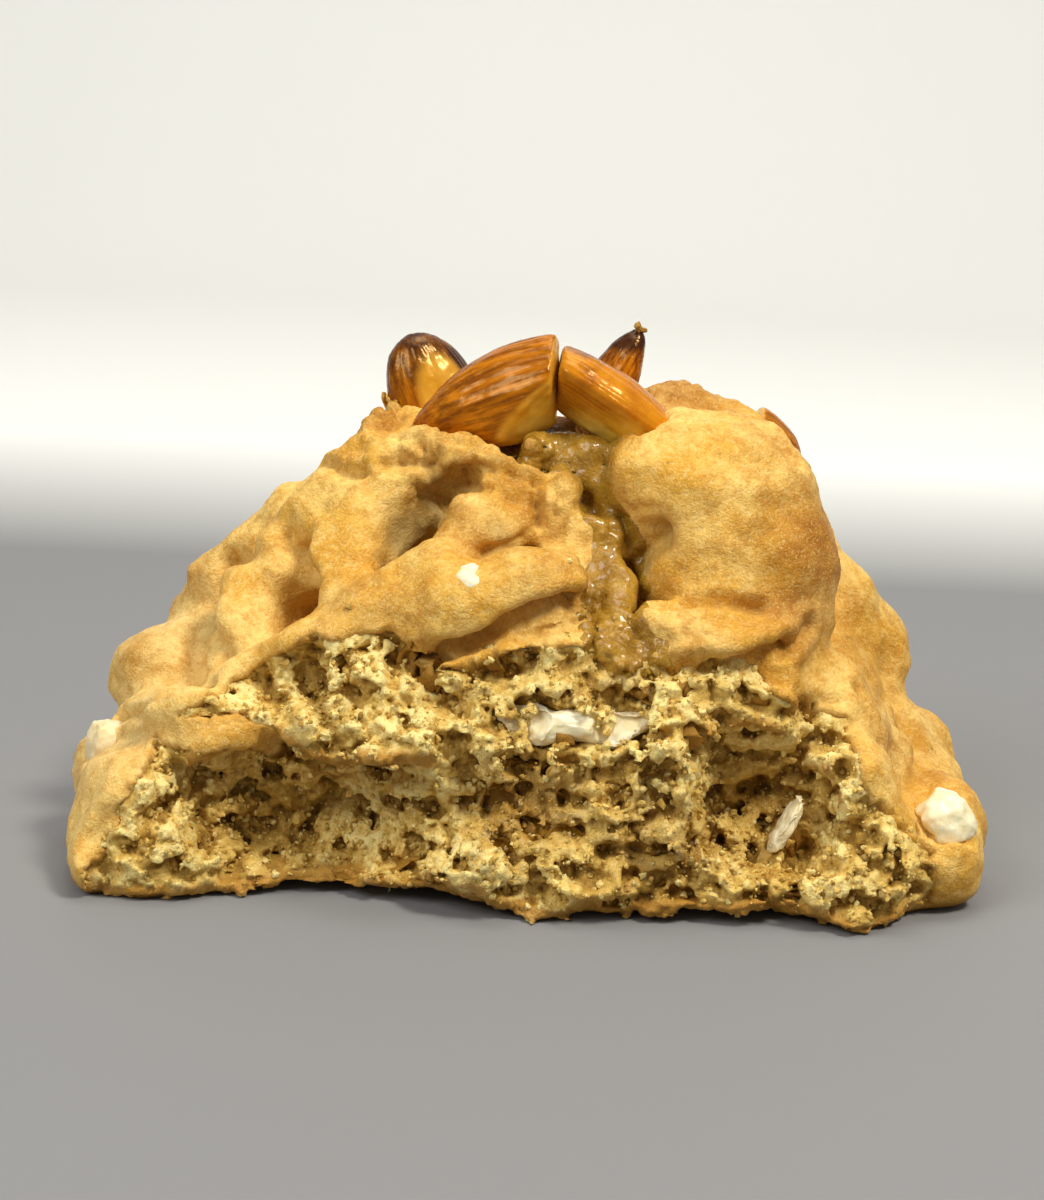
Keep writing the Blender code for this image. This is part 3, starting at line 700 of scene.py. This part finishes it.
def skin_round(field, corner, step):
    """A closed skin round the part of a lattice where the field is above nought."""
    cells = np.array(field.shape) - 1
    total, count = np.zeros((*cells, 3)), np.zeros(cells)
    crossings = []
    for axis in range(3):
        first = np.moveaxis(field, axis, 0)[:-1]
        second = np.moveaxis(field, axis, 0)[1:]
        changes = (first > 0) != (second > 0)
        crossed = np.moveaxis(changes, 0, axis)
        share = np.moveaxis(np.where(changes, first / (first - second + 1e-12), 0), 0, axis)
        crossings.append((crossed, np.moveaxis(first > 0, 0, axis)))
        b, c = (axis + 1) % 3, (axis + 2) % 3
        for i, j in np.ndindex(2, 2):
            window = [slice(0, n) for n in cells]
            window[b], window[c] = slice(i, i + cells[b]), slice(j, j + cells[c])
            hit = crossed[tuple(window)]
            count += hit
            total[..., axis] += hit * share[tuple(window)]
            total[..., b] += hit * i
            total[..., c] += hit * j
    used = count > 0
    number = np.full(cells, -1)
    number[used] = np.arange(used.sum())
    places = (np.argwhere(used) + total[used] / count[used][:, None]) * step + corner
    faces = []
    for axis, (crossed, inward) in enumerate(crossings):
        b, c = (axis + 1) % 3, (axis + 2) % 3
        at = np.argwhere(crossed)
        at = at[(at[:, b] > 0) & (at[:, b] < cells[b]) & (at[:, c] > 0) & (at[:, c] < cells[c])]
        loop = []
        for i, j in ((-1, -1), (0, -1), (0, 0), (-1, 0)):
            near = at.copy()
            near[:, b] += i
            near[:, c] += j
            loop.append(number[tuple(near.T)])
        quads = np.stack(loop, axis=1)
        out = inward[tuple(at.T)]
        faces += [quads[out], quads[~out][:, ::-1]]
    return places, np.concatenate(faces)


def largest_part(places, faces):
    """Drops the scraps that aren't joined to the largest part of a mesh."""
    part = np.arange(len(places))
    ends = np.concatenate([faces[:, [0, 1]], faces[:, [1, 2]], faces[:, [2, 3]]])
    before = None
    while before is None or not np.array_equal(part, before):
        before = part.copy()
        lowest = np.minimum(part[ends[:, 0]], part[ends[:, 1]])
        np.minimum.at(part, ends[:, 0], lowest)
        np.minimum.at(part, ends[:, 1], lowest)
        part = part[part]
    kept = part == np.bincount(part).argmax()
    return places[kept], (np.cumsum(kept) - 1)[faces[kept[faces[:, 0]]]]


def over_base(points):
    """How far each point is above the cookie's underside, felt a little behind the torn face."""
    starts = ((points + (0, 1.5, 0)) * MM).tolist()
    gaps = [whole_tree.ray_cast(p, (0, 0, -1), BASE_REACH * MM)[3] for p in starts]
    return np.array([BASE_REACH if gap is None else gap / MM for gap in gaps])


def crumb_steps(points):
    """Wide flakes with ragged edges, and the grainy clumps that they are made of, each from 0 to 1."""
    wide = points * (0.85, 0.4, 1.0)
    flakes = ease(-0.14, 0.16, hills(wide, 2.2, 62) + 0.35 * hills(points, 1.0, 63))
    grainy = (points + 0.3 * swirl(points, 1.1, (76, 77, 78))) * (1.0, 0.5, 1.0)
    clumps = 0.44 * beads(grainy, 1.7, 64) + 0.36 * beads(grainy, 0.95, 65) + 0.2 * beads(grainy, 0.6, 66)
    return flakes, np.maximum(clumps, 0.26)


points = read_points(dough)
torn = torn_share(points)
edge_points = points[torn > 0.3]
corner = edge_points.min(axis=0) - (2, 4.5, 1)
corner[2] = -COARSE_STEP
counts = np.ceil((edge_points.max(axis=0) + (2, 3, 2.5) - corner) / COARSE_STEP).astype(int) + 1
flat = lattice_places(counts, COARSE_STEP, corner).reshape(-1, 3)
outside, below = distances(flat, whole_tree), over_base(flat)
kept_clear = np.full(len(flat), 9.0)
for node in ("chunk_melted", "chunk_pocket", "chunk_left", "chunk_right", "chunk_crust"):
    bm = closed_copy(node, 0.3)
    kept_clear = np.minimum(kept_clear, distances(flat, BVHTree.FromBMesh(bm)))
    bm.free()
near = np.flatnonzero(np.abs(outside) < 6)
deepest = np.full(len(flat), TORN_DEPTH)
deepest[near] = room[[room_tree.find(p)[1] for p in flat[near].tolist()]]
lattice = np.stack([outside, below, kept_clear, torn_share(flat), inside_edge(flat), deepest], axis=1)
fields = [finer(lattice[:, k].reshape(counts), FINER) for k in range(6)]
outside, below, kept_clear, torn, within, deepest = fields
step = COARSE_STEP / FINER
places = lattice_places(outside.shape, step, corner)
live = (outside < 2.2) & (outside > -CRUMB_BACK - 0.6) & (within > -1.2) & (torn + within > -1.0)
places, outside, below, kept_clear, within, deepest = [
    each[live] for each in (places, outside, below, kept_clear, within, deepest)
]

# Flakes and clumps, with a rough grain over all
flakes, clumps = crumb_steps(places)
height = CRUMB_LEVEL + 0.8 * hills(places, 5.5, 61) + FLAKE_HEIGHT * flakes + CLUMP_HEIGHT * clumps
height += 0.15 * hills(places, 0.6, 70)
rim = ease(3.0, 0.4, within)
height = height * (1 - rim) + rim * (0.4 * height - 0.3)
for centre, reach, more in DEEPER:
    height += more * np.exp(-((np.linalg.norm(places - np.array(centre), axis=1) / reach) ** 2))
band = ease(2.4, 1.0, below + 0.5 * hills(places, 3, 67))
height = height * (1 - band) + band * (-0.3 + 0.5 * hills(places, 1.6, 68) + 0.4 * beads(places, 0.9, 69))
height = np.maximum(height, 0.45 - 0.35 * band - deepest)
height -= 3.6 * ease(0.05, -0.8, within)
solid = np.minimum(height - outside, outside + CRUMB_BACK)
solid = np.minimum(solid, kept_clear + 0.25 + 0.8 * hills(places, 1.7, 71))
solid = np.minimum(solid, places[:, 2])
field = np.full(torn.shape, -1.0)
field[live] = solid
field[[0, -1]] = field[:, [0, -1]] = field[:, :, [0, -1]] = -1.0
places, faces = largest_part(*skin_round(field, corner, step))
mesh = bpy.data.meshes.new("torn_crumb")
mesh.from_pydata((places * MM).tolist(), [], faces.tolist())
crumb = in_scene("torn_crumb", mesh)
fewer_faces(crumb, CRUMB_TRIANGLES)

points = read_points(crumb)
flakes, clumps = crumb_steps(points)
# Painted light and shade: the crumb is painted lighter near the face and on the tops of flakes and clumps,
# and darker the deeper it lies
crumb_light_and_shade = ease(3.4, 0.4, -distances(points, whole_tree) + 0.5 * hills(points, 1.4, 73))
crumb_light_and_shade = np.clip(0.4 * crumb_light_and_shade + 0.26 * flakes + 0.85 * clumps - 0.2, 0, 1)
crust_share = ease(2.6, 0.9, over_base(points) + 0.6 * hills(points, 2.2, 74))
# Painted shade: the crumb is darker in the painted shade patches
crumb_light_and_shade *= 1 - 0.5 * patches(points, PAINTED_SHADE)
mark(crumb, open=crumb_light_and_shade, soaked=patches(points, SOAKED), base=crust_share)

crumb_material, tree, shader = new_material(
    "torn_crumb", Specular_IOR_Level=0.35,
    Subsurface_Weight=0.15, Subsurface_Scale=0.0008, Subsurface_Radius=(1.0, 0.6, 0.2),
)
light_and_shade_mark = reading(tree, "open")
middle, speckle, fine = grain(tree, 2.2, 3), grain(tree, 0.6, 3, 0.7), grain(tree, 0.24, 2, 0.7)
lit = uneven(tree, light_and_shade_mark, speckle, -0.16, 0.16)
lit = uneven(tree, lit, middle, -0.12, 0.12)
# Painted shade and light: dark where the crumb lies deep, pale on the clump tops
inner = blend(tree, between(tree, lit, 0.08, 0.4), paint(112, 76, 14), paint(184, 142, 56))
inner = layered(tree, inner, [
    (between(tree, lit, 0.42, 0.7), (228, 190, 98)),
    (between(tree, lit, 0.72, 0.96), (251, 227, 148)),
    (between(tree, fine, 0.52, 0.74, 0, 0.35), (172, 128, 50)),
])
wet = uneven(tree, reading(tree, "soaked"), middle, -0.25, 0.2)
wet = between(tree, wet, 0.25, 0.8)
inner = blend(tree, reckon(tree, "MULTIPLY", wet, 0.6), inner, paint(158, 108, 34))
ground_mark = uneven(tree, reading(tree, "base"), speckle, -0.3, 0.3)
inner = blend(tree, between(tree, ground_mark, 0.2, 0.9, 0, 0.85), inner, paint(182, 126, 38))
dry = spread(tree, fine, 0.5, 0.75)
dry = reckon(tree, "SUBTRACT", dry, reckon(tree, "MULTIPLY", wet, 0.4))
set_surface(tree, shader, inner, dry, [(speckle, 0.35, 0.7), (fine, 0.2, 0.9)])
dress(crumb, crumb_material)
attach(crumb, "root")


# Loose grains. The break left fine dry grains clinging all over the crumb, and a few fell on the
# skin next to it, on the caramel and on the tip of an almond.

GRAINS = 6400
GRAIN_SEED = 19
GRAIN_LEAST = 0.12
GRAIN_MORE = 0.3
# Each grain is a ball of twelve corners
GRAIN_POINTS = 12
# Crumbs that fell on the skin, and those stuck to the point of the small almond
FALLEN = [
    (-2, -26, 33), (3, -24, 37), (12, -27, 28), (-20, -24, 30.5), (11.5, -31, 17.5), (13, -31, 16),
    (14.8, -31, 15.2), (12.2, -31, 14), (14.2, -31, 13), (16, -31, 12.4), (15.8, -31, 17),
    (11, -31, 12.6), (17.4, -31, 14),
]
ON_TIP = [(10.3, 8.4, 58.2), (10.9, 8.2, 58.1), (10.0, 8.1, 58.6)]
ON_TIP_SIZES = [0.55, 0.4, 0.45]


def random_turns(draw, count):
    """Turning matrices that point every way alike."""
    turns = draw.normal(size=(count, 4))
    w, x, y, z = (turns / np.linalg.norm(turns, axis=1, keepdims=True)).T
    rows = [
        1 - 2 * (y * y + z * z), 2 * (x * y - z * w), 2 * (x * z + y * w),
        2 * (x * y + z * w), 1 - 2 * (x * x + z * z), 2 * (y * z - x * w),
        2 * (x * z - y * w), 2 * (y * z + x * w), 1 - 2 * (x * x + y * y),
    ]
    return np.stack(rows, axis=1).reshape(-1, 3, 3)


def lumps(draw, centres, sizes, roughness, fineness):
    """Many rough little lumps in one bmesh, all of them closed: centres and radii in millimetres."""
    ball = bmesh.new()
    bmesh.ops.create_icosphere(ball, subdivisions=fineness, radius=1)
    sides = np.array([v.co for v in ball.verts])
    corners = np.array([[v.index for v in f.verts] for f in ball.faces])
    ball.free()
    count, points = len(centres), len(sides)
    stretch = draw.uniform(0.72, 1.22, size=(count, 1, 3))
    rough = 1 + roughness * draw.uniform(-1, 1, size=(count, points, 1))
    shapes = np.einsum("nij,npj->npi", random_turns(draw, count), sides * stretch * rough)
    places = centres[:, None, :] + shapes * sizes[:, None, None]
    faces = corners[None] + points * np.arange(count)[:, None, None]
    mesh = bpy.data.meshes.new("lumps")
    mesh.from_pydata((places.reshape(-1, 3) * MM).tolist(), [], faces.reshape(-1, 3).tolist())
    bm = bmesh.new()
    bm.from_mesh(mesh)
    bpy.data.meshes.remove(mesh)
    return bm


draw = np.random.default_rng(GRAIN_SEED)
points, normals = surface_of(crumb)
shown = np.flatnonzero((-distances(points, whole_tree) < 2.6) & (points[:, 2] > 1.5) & (normals[:, 1] < 0.3)
                       & (normals[:, 2] > -0.2) & (over_base(points) > 1.0))
seats = draw.choice(shown, size=GRAINS)
sizes = GRAIN_LEAST + GRAIN_MORE * draw.random(GRAINS) ** 3
centres = points[seats] + normals[seats] * (0.2 * sizes)[:, None] + draw.normal(0, 0.1, size=(GRAINS, 3))
centres[:, 2] = np.maximum(centres[:, 2], 0.5)
fallen = laid_on(np.array(FALLEN), whole_tree)
centres = np.concatenate([centres, fallen, np.array(ON_TIP)])
sizes = np.concatenate([sizes, draw.uniform(0.3, 0.7, size=len(fallen)), ON_TIP_SIZES])
grains = add_piece("crumb_grains", lumps(draw, centres, sizes, roughness=0.42, fineness=1))
lightness = draw.uniform(0.5, 0.95, size=len(centres))
lightness[-len(ON_TIP):] = 0.3
points = read_points(grains)
soaked = 0.7 * patches(points, SOAKED)
mark(grains, open=np.repeat(lightness, GRAIN_POINTS), soaked=soaked, base=ease(2.0, 0.6, points[:, 2]))
grains.data.materials.append(crumb_material)
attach(grains, "root")


# The caramel inside. Soft salted caramel was folded into the middle of the dough. It melted in
# the oven, soaked the crumb round it and set again, and the break lays its amber side open.

CORE_VOXEL = 0.4
CORE_LEVEL = -1.9

core = add_piece("caramel_inside", closed_copy("caramel_core"))
reskin(core, CORE_VOXEL)
soften(core, rounds=5)
points, normals = surface_of(core)
height = CORE_LEVEL + 0.9 * hills(points, 2.6, 41) + 0.4 * hills(points, 1.1, 42)
height += 0.3 * beads(points, 1.0, 43)
raise_skin(core, points, normals, height)
caramel, tree, shader = new_material(
    "salted_caramel", Specular_IOR_Level=0.2,
    Subsurface_Weight=0.2, Subsurface_Scale=0.001, Subsurface_Radius=(1.0, 0.45, 0.1),
)
cloud, speck = grain(tree, 2.4, 3), grain(tree, 0.5, 2)
amber = blend(tree, between(tree, cloud, 0.34, 0.66), paint(96, 62, 4), paint(144, 100, 20))
amber = blend(tree, between(tree, speck, 0.5, 0.75, 0, 0.5), amber, paint(172, 126, 46))
relief = [(grain(tree, 0.8, 3), 0.25, 0.5), (speck, 0.14, 0.7)]
set_surface(tree, shader, amber, spread(tree, speck, 0.3, 0.55), relief)
dress(core, caramel)
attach(core, "root")
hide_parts("caramel_core")


# The caramel on top. A spoonful of the same caramel went on with the almonds, ran down the gully
# between the folds while it was hot, and set as a thin sticky film with small bubbles in it.

FILM_REACH = 2.2
FILM_THICKNESS = 0.34
FILM_SUNK = 0.12
SHELL_THICKNESS = 0.5
# Skin next to the run that stayed dry
BARE = [
    ((11.5, -8, 48), 3.2, 1.0), ((12, -14, 42), 3, 1.0), ((0.5, -15, 39), 2, 0.8),
    ((10.4, -12.6, 48.4), 3.4, 1.0),
]

bm = closed_copy("caramel_run")
run_tree = BVHTree.FromBMesh(bm)
low_corner = np.array([min(v.co[k] for v in bm.verts) for k in range(3)]) / MM - 3
high_corner = np.array([max(v.co[k] for v in bm.verts) for k in range(3)]) / MM + 3
bm.free()
film = in_scene("caramel_film", dough.data.copy())
bm = bmesh.new()
bm.from_mesh(film.data)
spots = np.array([v.co for v in bm.verts]) / MM
boxed = np.all((spots > low_corner) & (spots < high_corner), axis=1)
cover = np.full(len(spots), -1.0)
cover[boxed] = FILM_REACH - distances(spots[boxed], run_tree) + 0.9 * hills(spots[boxed], 2.4, 51)
cover -= 9 * ease(0.3, 0.6, patches(spots, BARE))
bm.verts.ensure_lookup_table()
bmesh.ops.delete(bm, geom=[v for v, c in zip(bm.verts[:], cover) if c < 0], context="VERTS")
bmesh.ops.subdivide_edges(bm, edges=bm.edges[:], cuts=1, use_grid_fill=True)
bmesh.ops.triangulate(bm, faces=bm.faces[:])
bm.to_mesh(film.data)
bm.free()
points, normals = surface_of(film)
cover = FILM_REACH - distances(points, run_tree) + 0.9 * hills(points, 2.4, 51)
thick = ease(0.0, 2.0, cover) * (FILM_THICKNESS + 0.14 * hills(points, 2.2, 52)) - FILM_SUNK
bubbles = ease(0.6, 0.9, beads(points, 0.7, 54))
thick += ease(0.6, 1.4, cover) * (0.04 * hills(points, 0.8, 53) + 0.03 * bubbles)
raise_skin(film, points, normals, thick)
shell = film.modifiers.new("shell", "SOLIDIFY")
shell.thickness = SHELL_THICKNESS * MM
shell.offset = -1
apply_modifiers(film)
sticky, tree, shader = new_material(
    "caramel_film", Specular_IOR_Level=0.2, Coat_Weight=0.45, Coat_Roughness=0.06,
    Subsurface_Weight=0.2, Subsurface_Scale=0.001, Subsurface_Radius=(1.0, 0.5, 0.15),
)
cloud, speck = grain(tree, 3.0, 3), grain(tree, 0.32, 2)
honey = blend(tree, between(tree, cloud, 0.34, 0.66), paint(142, 100, 20), paint(184, 140, 46))
honey = blend(tree, between(tree, speck, 0.5, 0.75, 0, 0.4), honey, paint(204, 166, 84))
relief = [(grain(tree, 0.9, 3), 0.2, 0.4), (speck, 0.16, 0.8)]
set_surface(tree, shader, honey, spread(tree, speck, 0.12, 0.42), relief)
dress(film, sticky)
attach(film, "root")
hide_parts("caramel_run")


# The white chocolate. A bar was chopped by hand and stirred into the dough, so the pieces have flat
# breaks and dull corners. Some show at the skin, one at the pocket, and one melted across the break.

CHOCOLATE_VOXEL = 0.28

chocolate, tree, shader = new_material(
    "white_chocolate", Specular_IOR_Level=0.5,
    Subsurface_Weight=0.3, Subsurface_Scale=0.003, Subsurface_Radius=(1.0, 0.8, 0.5),
)
cloud, speck = grain(tree, 2.2, 3), grain(tree, 0.35, 2)
cream = blend(tree, between(tree, cloud, 0.35, 0.65), paint(254, 248, 214), paint(244, 228, 180))
cream = blend(tree, between(tree, speck, 0.55, 0.8, 0, 0.4), cream, paint(224, 196, 136))
smear = reckon(tree, "MULTIPLY", reading(tree, "smeared"), between(tree, cloud, 0.3, 0.6, 0.6, 1.0))
cream = blend(tree, smear, cream, paint(230, 198, 138))
relief = [(grain(tree, 1.1, 4, 0.6), 0.3, 0.5), (speck, 0.08, 0.4)]
set_surface(tree, shader, cream, spread(tree, cloud, 0.28, 0.48), relief)

# How far each stays inside its packed form, in millimetres, and how much dough is smeared on it
CHOCOLATE = {
    "chunk_left": (0.3, 0.7), "chunk_right": (0.3, 0.05), "chunk_crust": (-0.5, 0.3),
    "chunk_pocket": (0.9, 0.4), "chunk_melted": (0.9, 0.35),
}
for number, (name, (inset, smeared)) in enumerate(CHOCOLATE.items()):
    chunk = add_piece("white_" + name, closed_copy(name))
    reskin(chunk, CHOCOLATE_VOXEL)
    soften(chunk, rounds=6)
    points, normals = surface_of(chunk)
    height = 0.35 * beads(points, 3.6, 60 + number) + 0.25 * hills(points, 1.4, 70 + number) - inset - 0.2
    height += 0.12 * hills(points, 0.7, 75 + number)
    raise_skin(chunk, points, normals, height)
    mark(chunk, smeared=np.full(len(points), smeared))
    dress(chunk, chocolate)
    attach(chunk, "root")
    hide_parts(name)


# The almonds. Whole roasted almonds were chopped across, tossed in caramel and pushed into the top
# of the dough. The skins are ribbed along their length, the cuts are pale, and all of it is glazed.

ALMOND_LENGTH = 24.0
ALMOND_WIDTH = 11.5
ALMOND_THICKNESS = 8.0
ALMOND_VOXEL = 0.24
ALMOND_RIBS = 30
ALMOND_ROUNDS = 26
ALMONDS = {
    "almond_front": {
        "centre": (-4.2, -5.6, 51.6), "along": (0.90, -0.15, 0.38), "face": (-0.25, -0.88, 0.40),
        "cuts": [((0.6, -7, 54), (1, -0.15, 0.05)), ((-1.6, -9.4, 51), (0.5, -0.72, -0.48))],
        "burnt": 0.25, "honey": 0.15,
    },
    "almond_middle": {
        "centre": (7.0, -6.2, 50.9), "along": (-0.86, 0.14, 0.49), "face": (0.48, 0.12, 0.87),
        "cuts": [((1.0, -6, 54), (-1, 0, 0.1)), ((5.6, -7.9, 49.2), (-0.5, -0.62, -0.6))],
        "burnt": 0.9, "honey": 0.85, "worn": 60,
    },
    "almond_back": {
        "centre": (-11.6, 5.0, 45.8), "along": (-0.40, 0.10, 0.91), "face": (0.35, -0.92, 0.15),
        "cuts": [((-10, 5, 44), (0.40, -0.10, -0.91)), ((-11.8, 1.9, 50), (0.35, -0.88, 0.3))],
        "burnt": 0.9, "honey": 0.2,
    },
    "almond_tip": {
        "size": 0.58, "centre": (7.6, 8.1, 52.0), "along": (-0.42, -0.1, -0.9), "face": (-0.75, -0.65, 0.1),
        "cuts": [((6, 8, 46.5), (0, 0, -1))], "burnt": 3.0, "honey": 0.0,
    },
    "almond_rear": {
        "size": 0.85, "centre": (21.0, 8.4, 47.0), "along": (0.90, 0.1, -0.42), "face": (0.35, -0.85, 0.5),
        "cuts": [((23.8, 8.8, 45.6), (-0.9, -0.1, 0.42))], "burnt": 0.3, "honey": 0.3,
    },
}

nut, tree, shader = new_material(
    "glazed_almond", Specular_IOR_Level=0.55, Specular_Tint=(1.0, 0.62, 0.22, 1), Coat_Weight=0.07,
    Coat_Roughness=0.05, Subsurface_Weight=0.12, Subsurface_Scale=0.0015, Subsurface_Radius=(1.0, 0.5, 0.15),
)
own_place = tree.nodes.new("ShaderNodeAttribute")
own_place.attribute_name = "own_place"
ribs = grain(tree, 1.0, 3, 0.6, own_place.outputs["Vector"], (9, 0.75, 0.75))
veins = grain(tree, 1.0, 3, 0.7, own_place.outputs["Vector"], (14, 0.4, 0.4))
blotch, speck = grain(tree, 3.5, 3), grain(tree, 0.4, 2)
coat = blend(tree, between(tree, ribs, 0.38, 0.62), paint(104, 44, 0), paint(196, 114, 6))
coat = layered(tree, coat, [
    (between(tree, veins, 0.54, 0.66, 0, 0.65), (84, 34, 2)),
    (between(tree, blotch, 0.5, 0.7, 0, 0.4), (196, 112, 6)),
])
honey = blend(tree, between(tree, blotch, 0.35, 0.65), paint(212, 136, 16), paint(176, 98, 6))
coat = blend(tree, reading(tree, "honey"), coat, honey)
scorched = uneven(tree, reading(tree, "burnt"), blotch, -0.3, 0.3)
coat = blend(tree, between(tree, scorched, 0.3, 0.9, 0, 0.94), coat, paint(46, 16, 10))
flesh = blend(tree, between(tree, blotch, 0.4, 0.66), paint(242, 200, 84), paint(230, 172, 44))
flesh = blend(tree, between(tree, reading(tree, "cut_edge"), 0.3, 1.0, 0, 0.55), flesh, paint(206, 130, 18))
coat = blend(tree, reading(tree, "cut"), coat, flesh)
relief = [(ribs, 0.2, 0.2), (veins, 0.1, 0.2), (speck, 0.06, 0.3)]
set_surface(tree, shader, coat, spread(tree, speck, 0.14, 0.3), relief)

for number, (name, facts) in enumerate(ALMONDS.items()):
    size = facts.get("size", 1.0)
    bm = bmesh.new()
    upright = Matrix.Rotation(math.pi / 2, 4, "Y")
    bmesh.ops.create_uvsphere(bm, u_segments=80, v_segments=48, radius=size, matrix=upright)
    for v in bm.verts:
        blunt, point = max(0.0, v.co.x / size), max(0.0, -v.co.x / size)
        v.co.y *= ALMOND_WIDTH / 2 * (1 - 0.2 * point - 0.25 * point**3)
        v.co.z *= ALMOND_THICKNESS / 2 * (1 - 0.18 * point)
        v.co.x = size * ALMOND_LENGTH / 2 * (blunt**0.8 - point)
    x = Vector(facts["along"]).normalized()
    y = Vector(facts["face"]).cross(x).normalized()
    place = Matrix.Translation(facts["centre"]) @ Matrix((x, y, x.cross(y))).transposed().to_4x4()
    bm.transform(place)
    for spot, out in facts["cuts"]:
        whole = list(bm.verts) + list(bm.edges) + list(bm.faces)
        sliced = bmesh.ops.bisect_plane(bm, geom=whole, plane_co=spot, plane_no=out, clear_outer=True)
        bmesh.ops.holes_fill(bm, edges=[e for e in sliced["geom_cut"] if isinstance(e, bmesh.types.BMEdge)])
    bmesh.ops.recalc_face_normals(bm, faces=bm.faces)
    bmesh.ops.triangulate(bm, faces=[f for f in bm.faces if len(f.verts) > 4])
    bmesh.ops.scale(bm, vec=(MM, MM, MM), verts=bm.verts)
    almond = add_piece("glazed_" + name, bm)
    reskin(almond, ALMOND_VOXEL)
    soften(almond, facts.get("worn", ALMOND_ROUNDS))
    points, normals = surface_of(almond)
    own = np.array([place.inverted() @ Vector(p) for p in points.tolist()])
    cut = np.zeros(len(points))
    for spot, out in facts["cuts"]:
        out = np.array(Vector(out).normalized())
        gap = (np.array(spot) - points) @ out
        on_face = ease(0.9, 0.3, gap) * ease(0.5, 0.85, normals @ out)
        cut = np.maximum(cut, on_face)
    cut *= 1 - facts["honey"] * ease(48.5, 52, points[:, 2])
    inner_size = size * np.array([ALMOND_LENGTH, ALMOND_WIDTH, ALMOND_THICKNESS]) / 2
    cut_edge = ease(0.72, 1.0, np.linalg.norm(own / inner_size, axis=1))
    around = np.arctan2(own[:, 2] / ALMOND_THICKNESS, own[:, 1] / ALMOND_WIDTH)
    waver = 2.2 * hills(own * np.array([0.35, 1, 1]), 5, 80 + number)
    rib = np.cos(ALMOND_RIBS * around + waver * 2)
    height = (1 - cut) * (0.035 * rib + 0.16 * hills(own * np.array([0.3, 1, 1]), 2.2, 85 + number))
    height += 0.12 * hills(points, 3.0, 90 + number) + 0.05 * hills(points, 1.1, 100 + number)
    height += cut * 0.1 * hills(points, 1.2, 95 + number)
    raise_skin(almond, points, normals, height)
    top = facts["burnt"] * ease(-1, 8, points[:, 2] - facts["centre"][2] - 2)
    mark(almond, cut=cut, cut_edge=cut_edge, burnt=top, honey=np.full(len(points), facts["honey"]))
    layer = almond.data.attributes.new("own_place", "FLOAT_VECTOR", "POINT")
    layer.data.foreach_set("vector", own.astype(np.float32).ravel())
    dress(almond, nut)
    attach(almond, "root")
    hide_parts(name)


# The floor and the light. The cookie stands on a plain pale floor that runs up into a plain
# backdrop, under soft studio light from the upper right.

FLOOR_FRONT = -1.2
FLOOR_BACK = 0.55
FLOOR_HALF_WIDTH = 2
BACKDROP_HEIGHT = 1.6
SWEEP = 0.25
SWEEP_STEPS = 16

profile = [(FLOOR_FRONT, 0.0)]
for i in range(SWEEP_STEPS + 1):
    angle = math.pi / 2 * i / SWEEP_STEPS
    profile.append((FLOOR_BACK + SWEEP * math.sin(angle), SWEEP * (1 - math.cos(angle))))
profile.append((FLOOR_BACK + SWEEP, BACKDROP_HEIGHT))
bm = bmesh.new()
rows = [[bm.verts.new((x, y, z)) for x in (-FLOOR_HALF_WIDTH, FLOOR_HALF_WIDTH)] for y, z in profile]
for low, high in zip(rows, rows[1:]):
    bm.faces.new((low[0], low[1], high[1], high[0]))
floor = add_piece("floor", bm)
floor.data.shade_smooth()
ground, tree, shader = new_material("pale_floor", Roughness=0.7, Specular_IOR_Level=0.2)
height = tree.nodes.new("ShaderNodeSeparateXYZ")
tree.links.new(tree.nodes.new("ShaderNodeTexCoord").outputs["Object"], height.inputs["Vector"])
sweep_share = between(tree, height.outputs["Y"], 0.14, 0.26)
sweep_colour = blend(tree, sweep_share, paint(134, 133, 132), paint(244, 243, 236))
tree.links.new(sweep_colour, shader.inputs["Base Color"])
floor.data.materials.append(ground)

# Each light's place, what it is turned to, its size, power and tint
COOKIE = (0, 0, 0.02)
LIGHTS = {
    "key": ((0.28, -0.24, 0.60), COOKIE, 0.16, 3.6, (1.0, 0.96, 0.88)),
    "top": ((-0.05, 0.12, 0.75), COOKIE, 0.5, 1.3, (1.0, 0.98, 0.95)),
    "front": ((-0.50, -0.46, 0.58), COOKIE, 0.4, 3.7, (0.95, 0.98, 1.0)),
    "backdrop": ((0.1, 0.15, 1.0), (0.15, 0.85, 0.3), 0.5, 2.4, (1.0, 1.0, 1.0)),
}
for name, (place, target, size, power, tint) in LIGHTS.items():
    lamp = bpy.data.lights.new(name, "AREA")
    lamp.size = size
    lamp.energy = power
    lamp.color = tint
    light = in_scene(name, lamp)
    light.location = place
    light.rotation_mode = "QUATERNION"
    light.rotation_quaternion = (Vector(target) - Vector(place)).to_track_quat("-Z", "Y")
world = bpy.data.worlds.new("studio")
world.use_nodes = True
world.node_tree.nodes["Background"].inputs["Color"].default_value = (0.94, 0.96, 1.0, 1)
world.node_tree.nodes["Background"].inputs["Strength"].default_value = 0.24
bpy.context.scene.world = world
bpy.context.scene.view_settings.view_transform = "Standard"
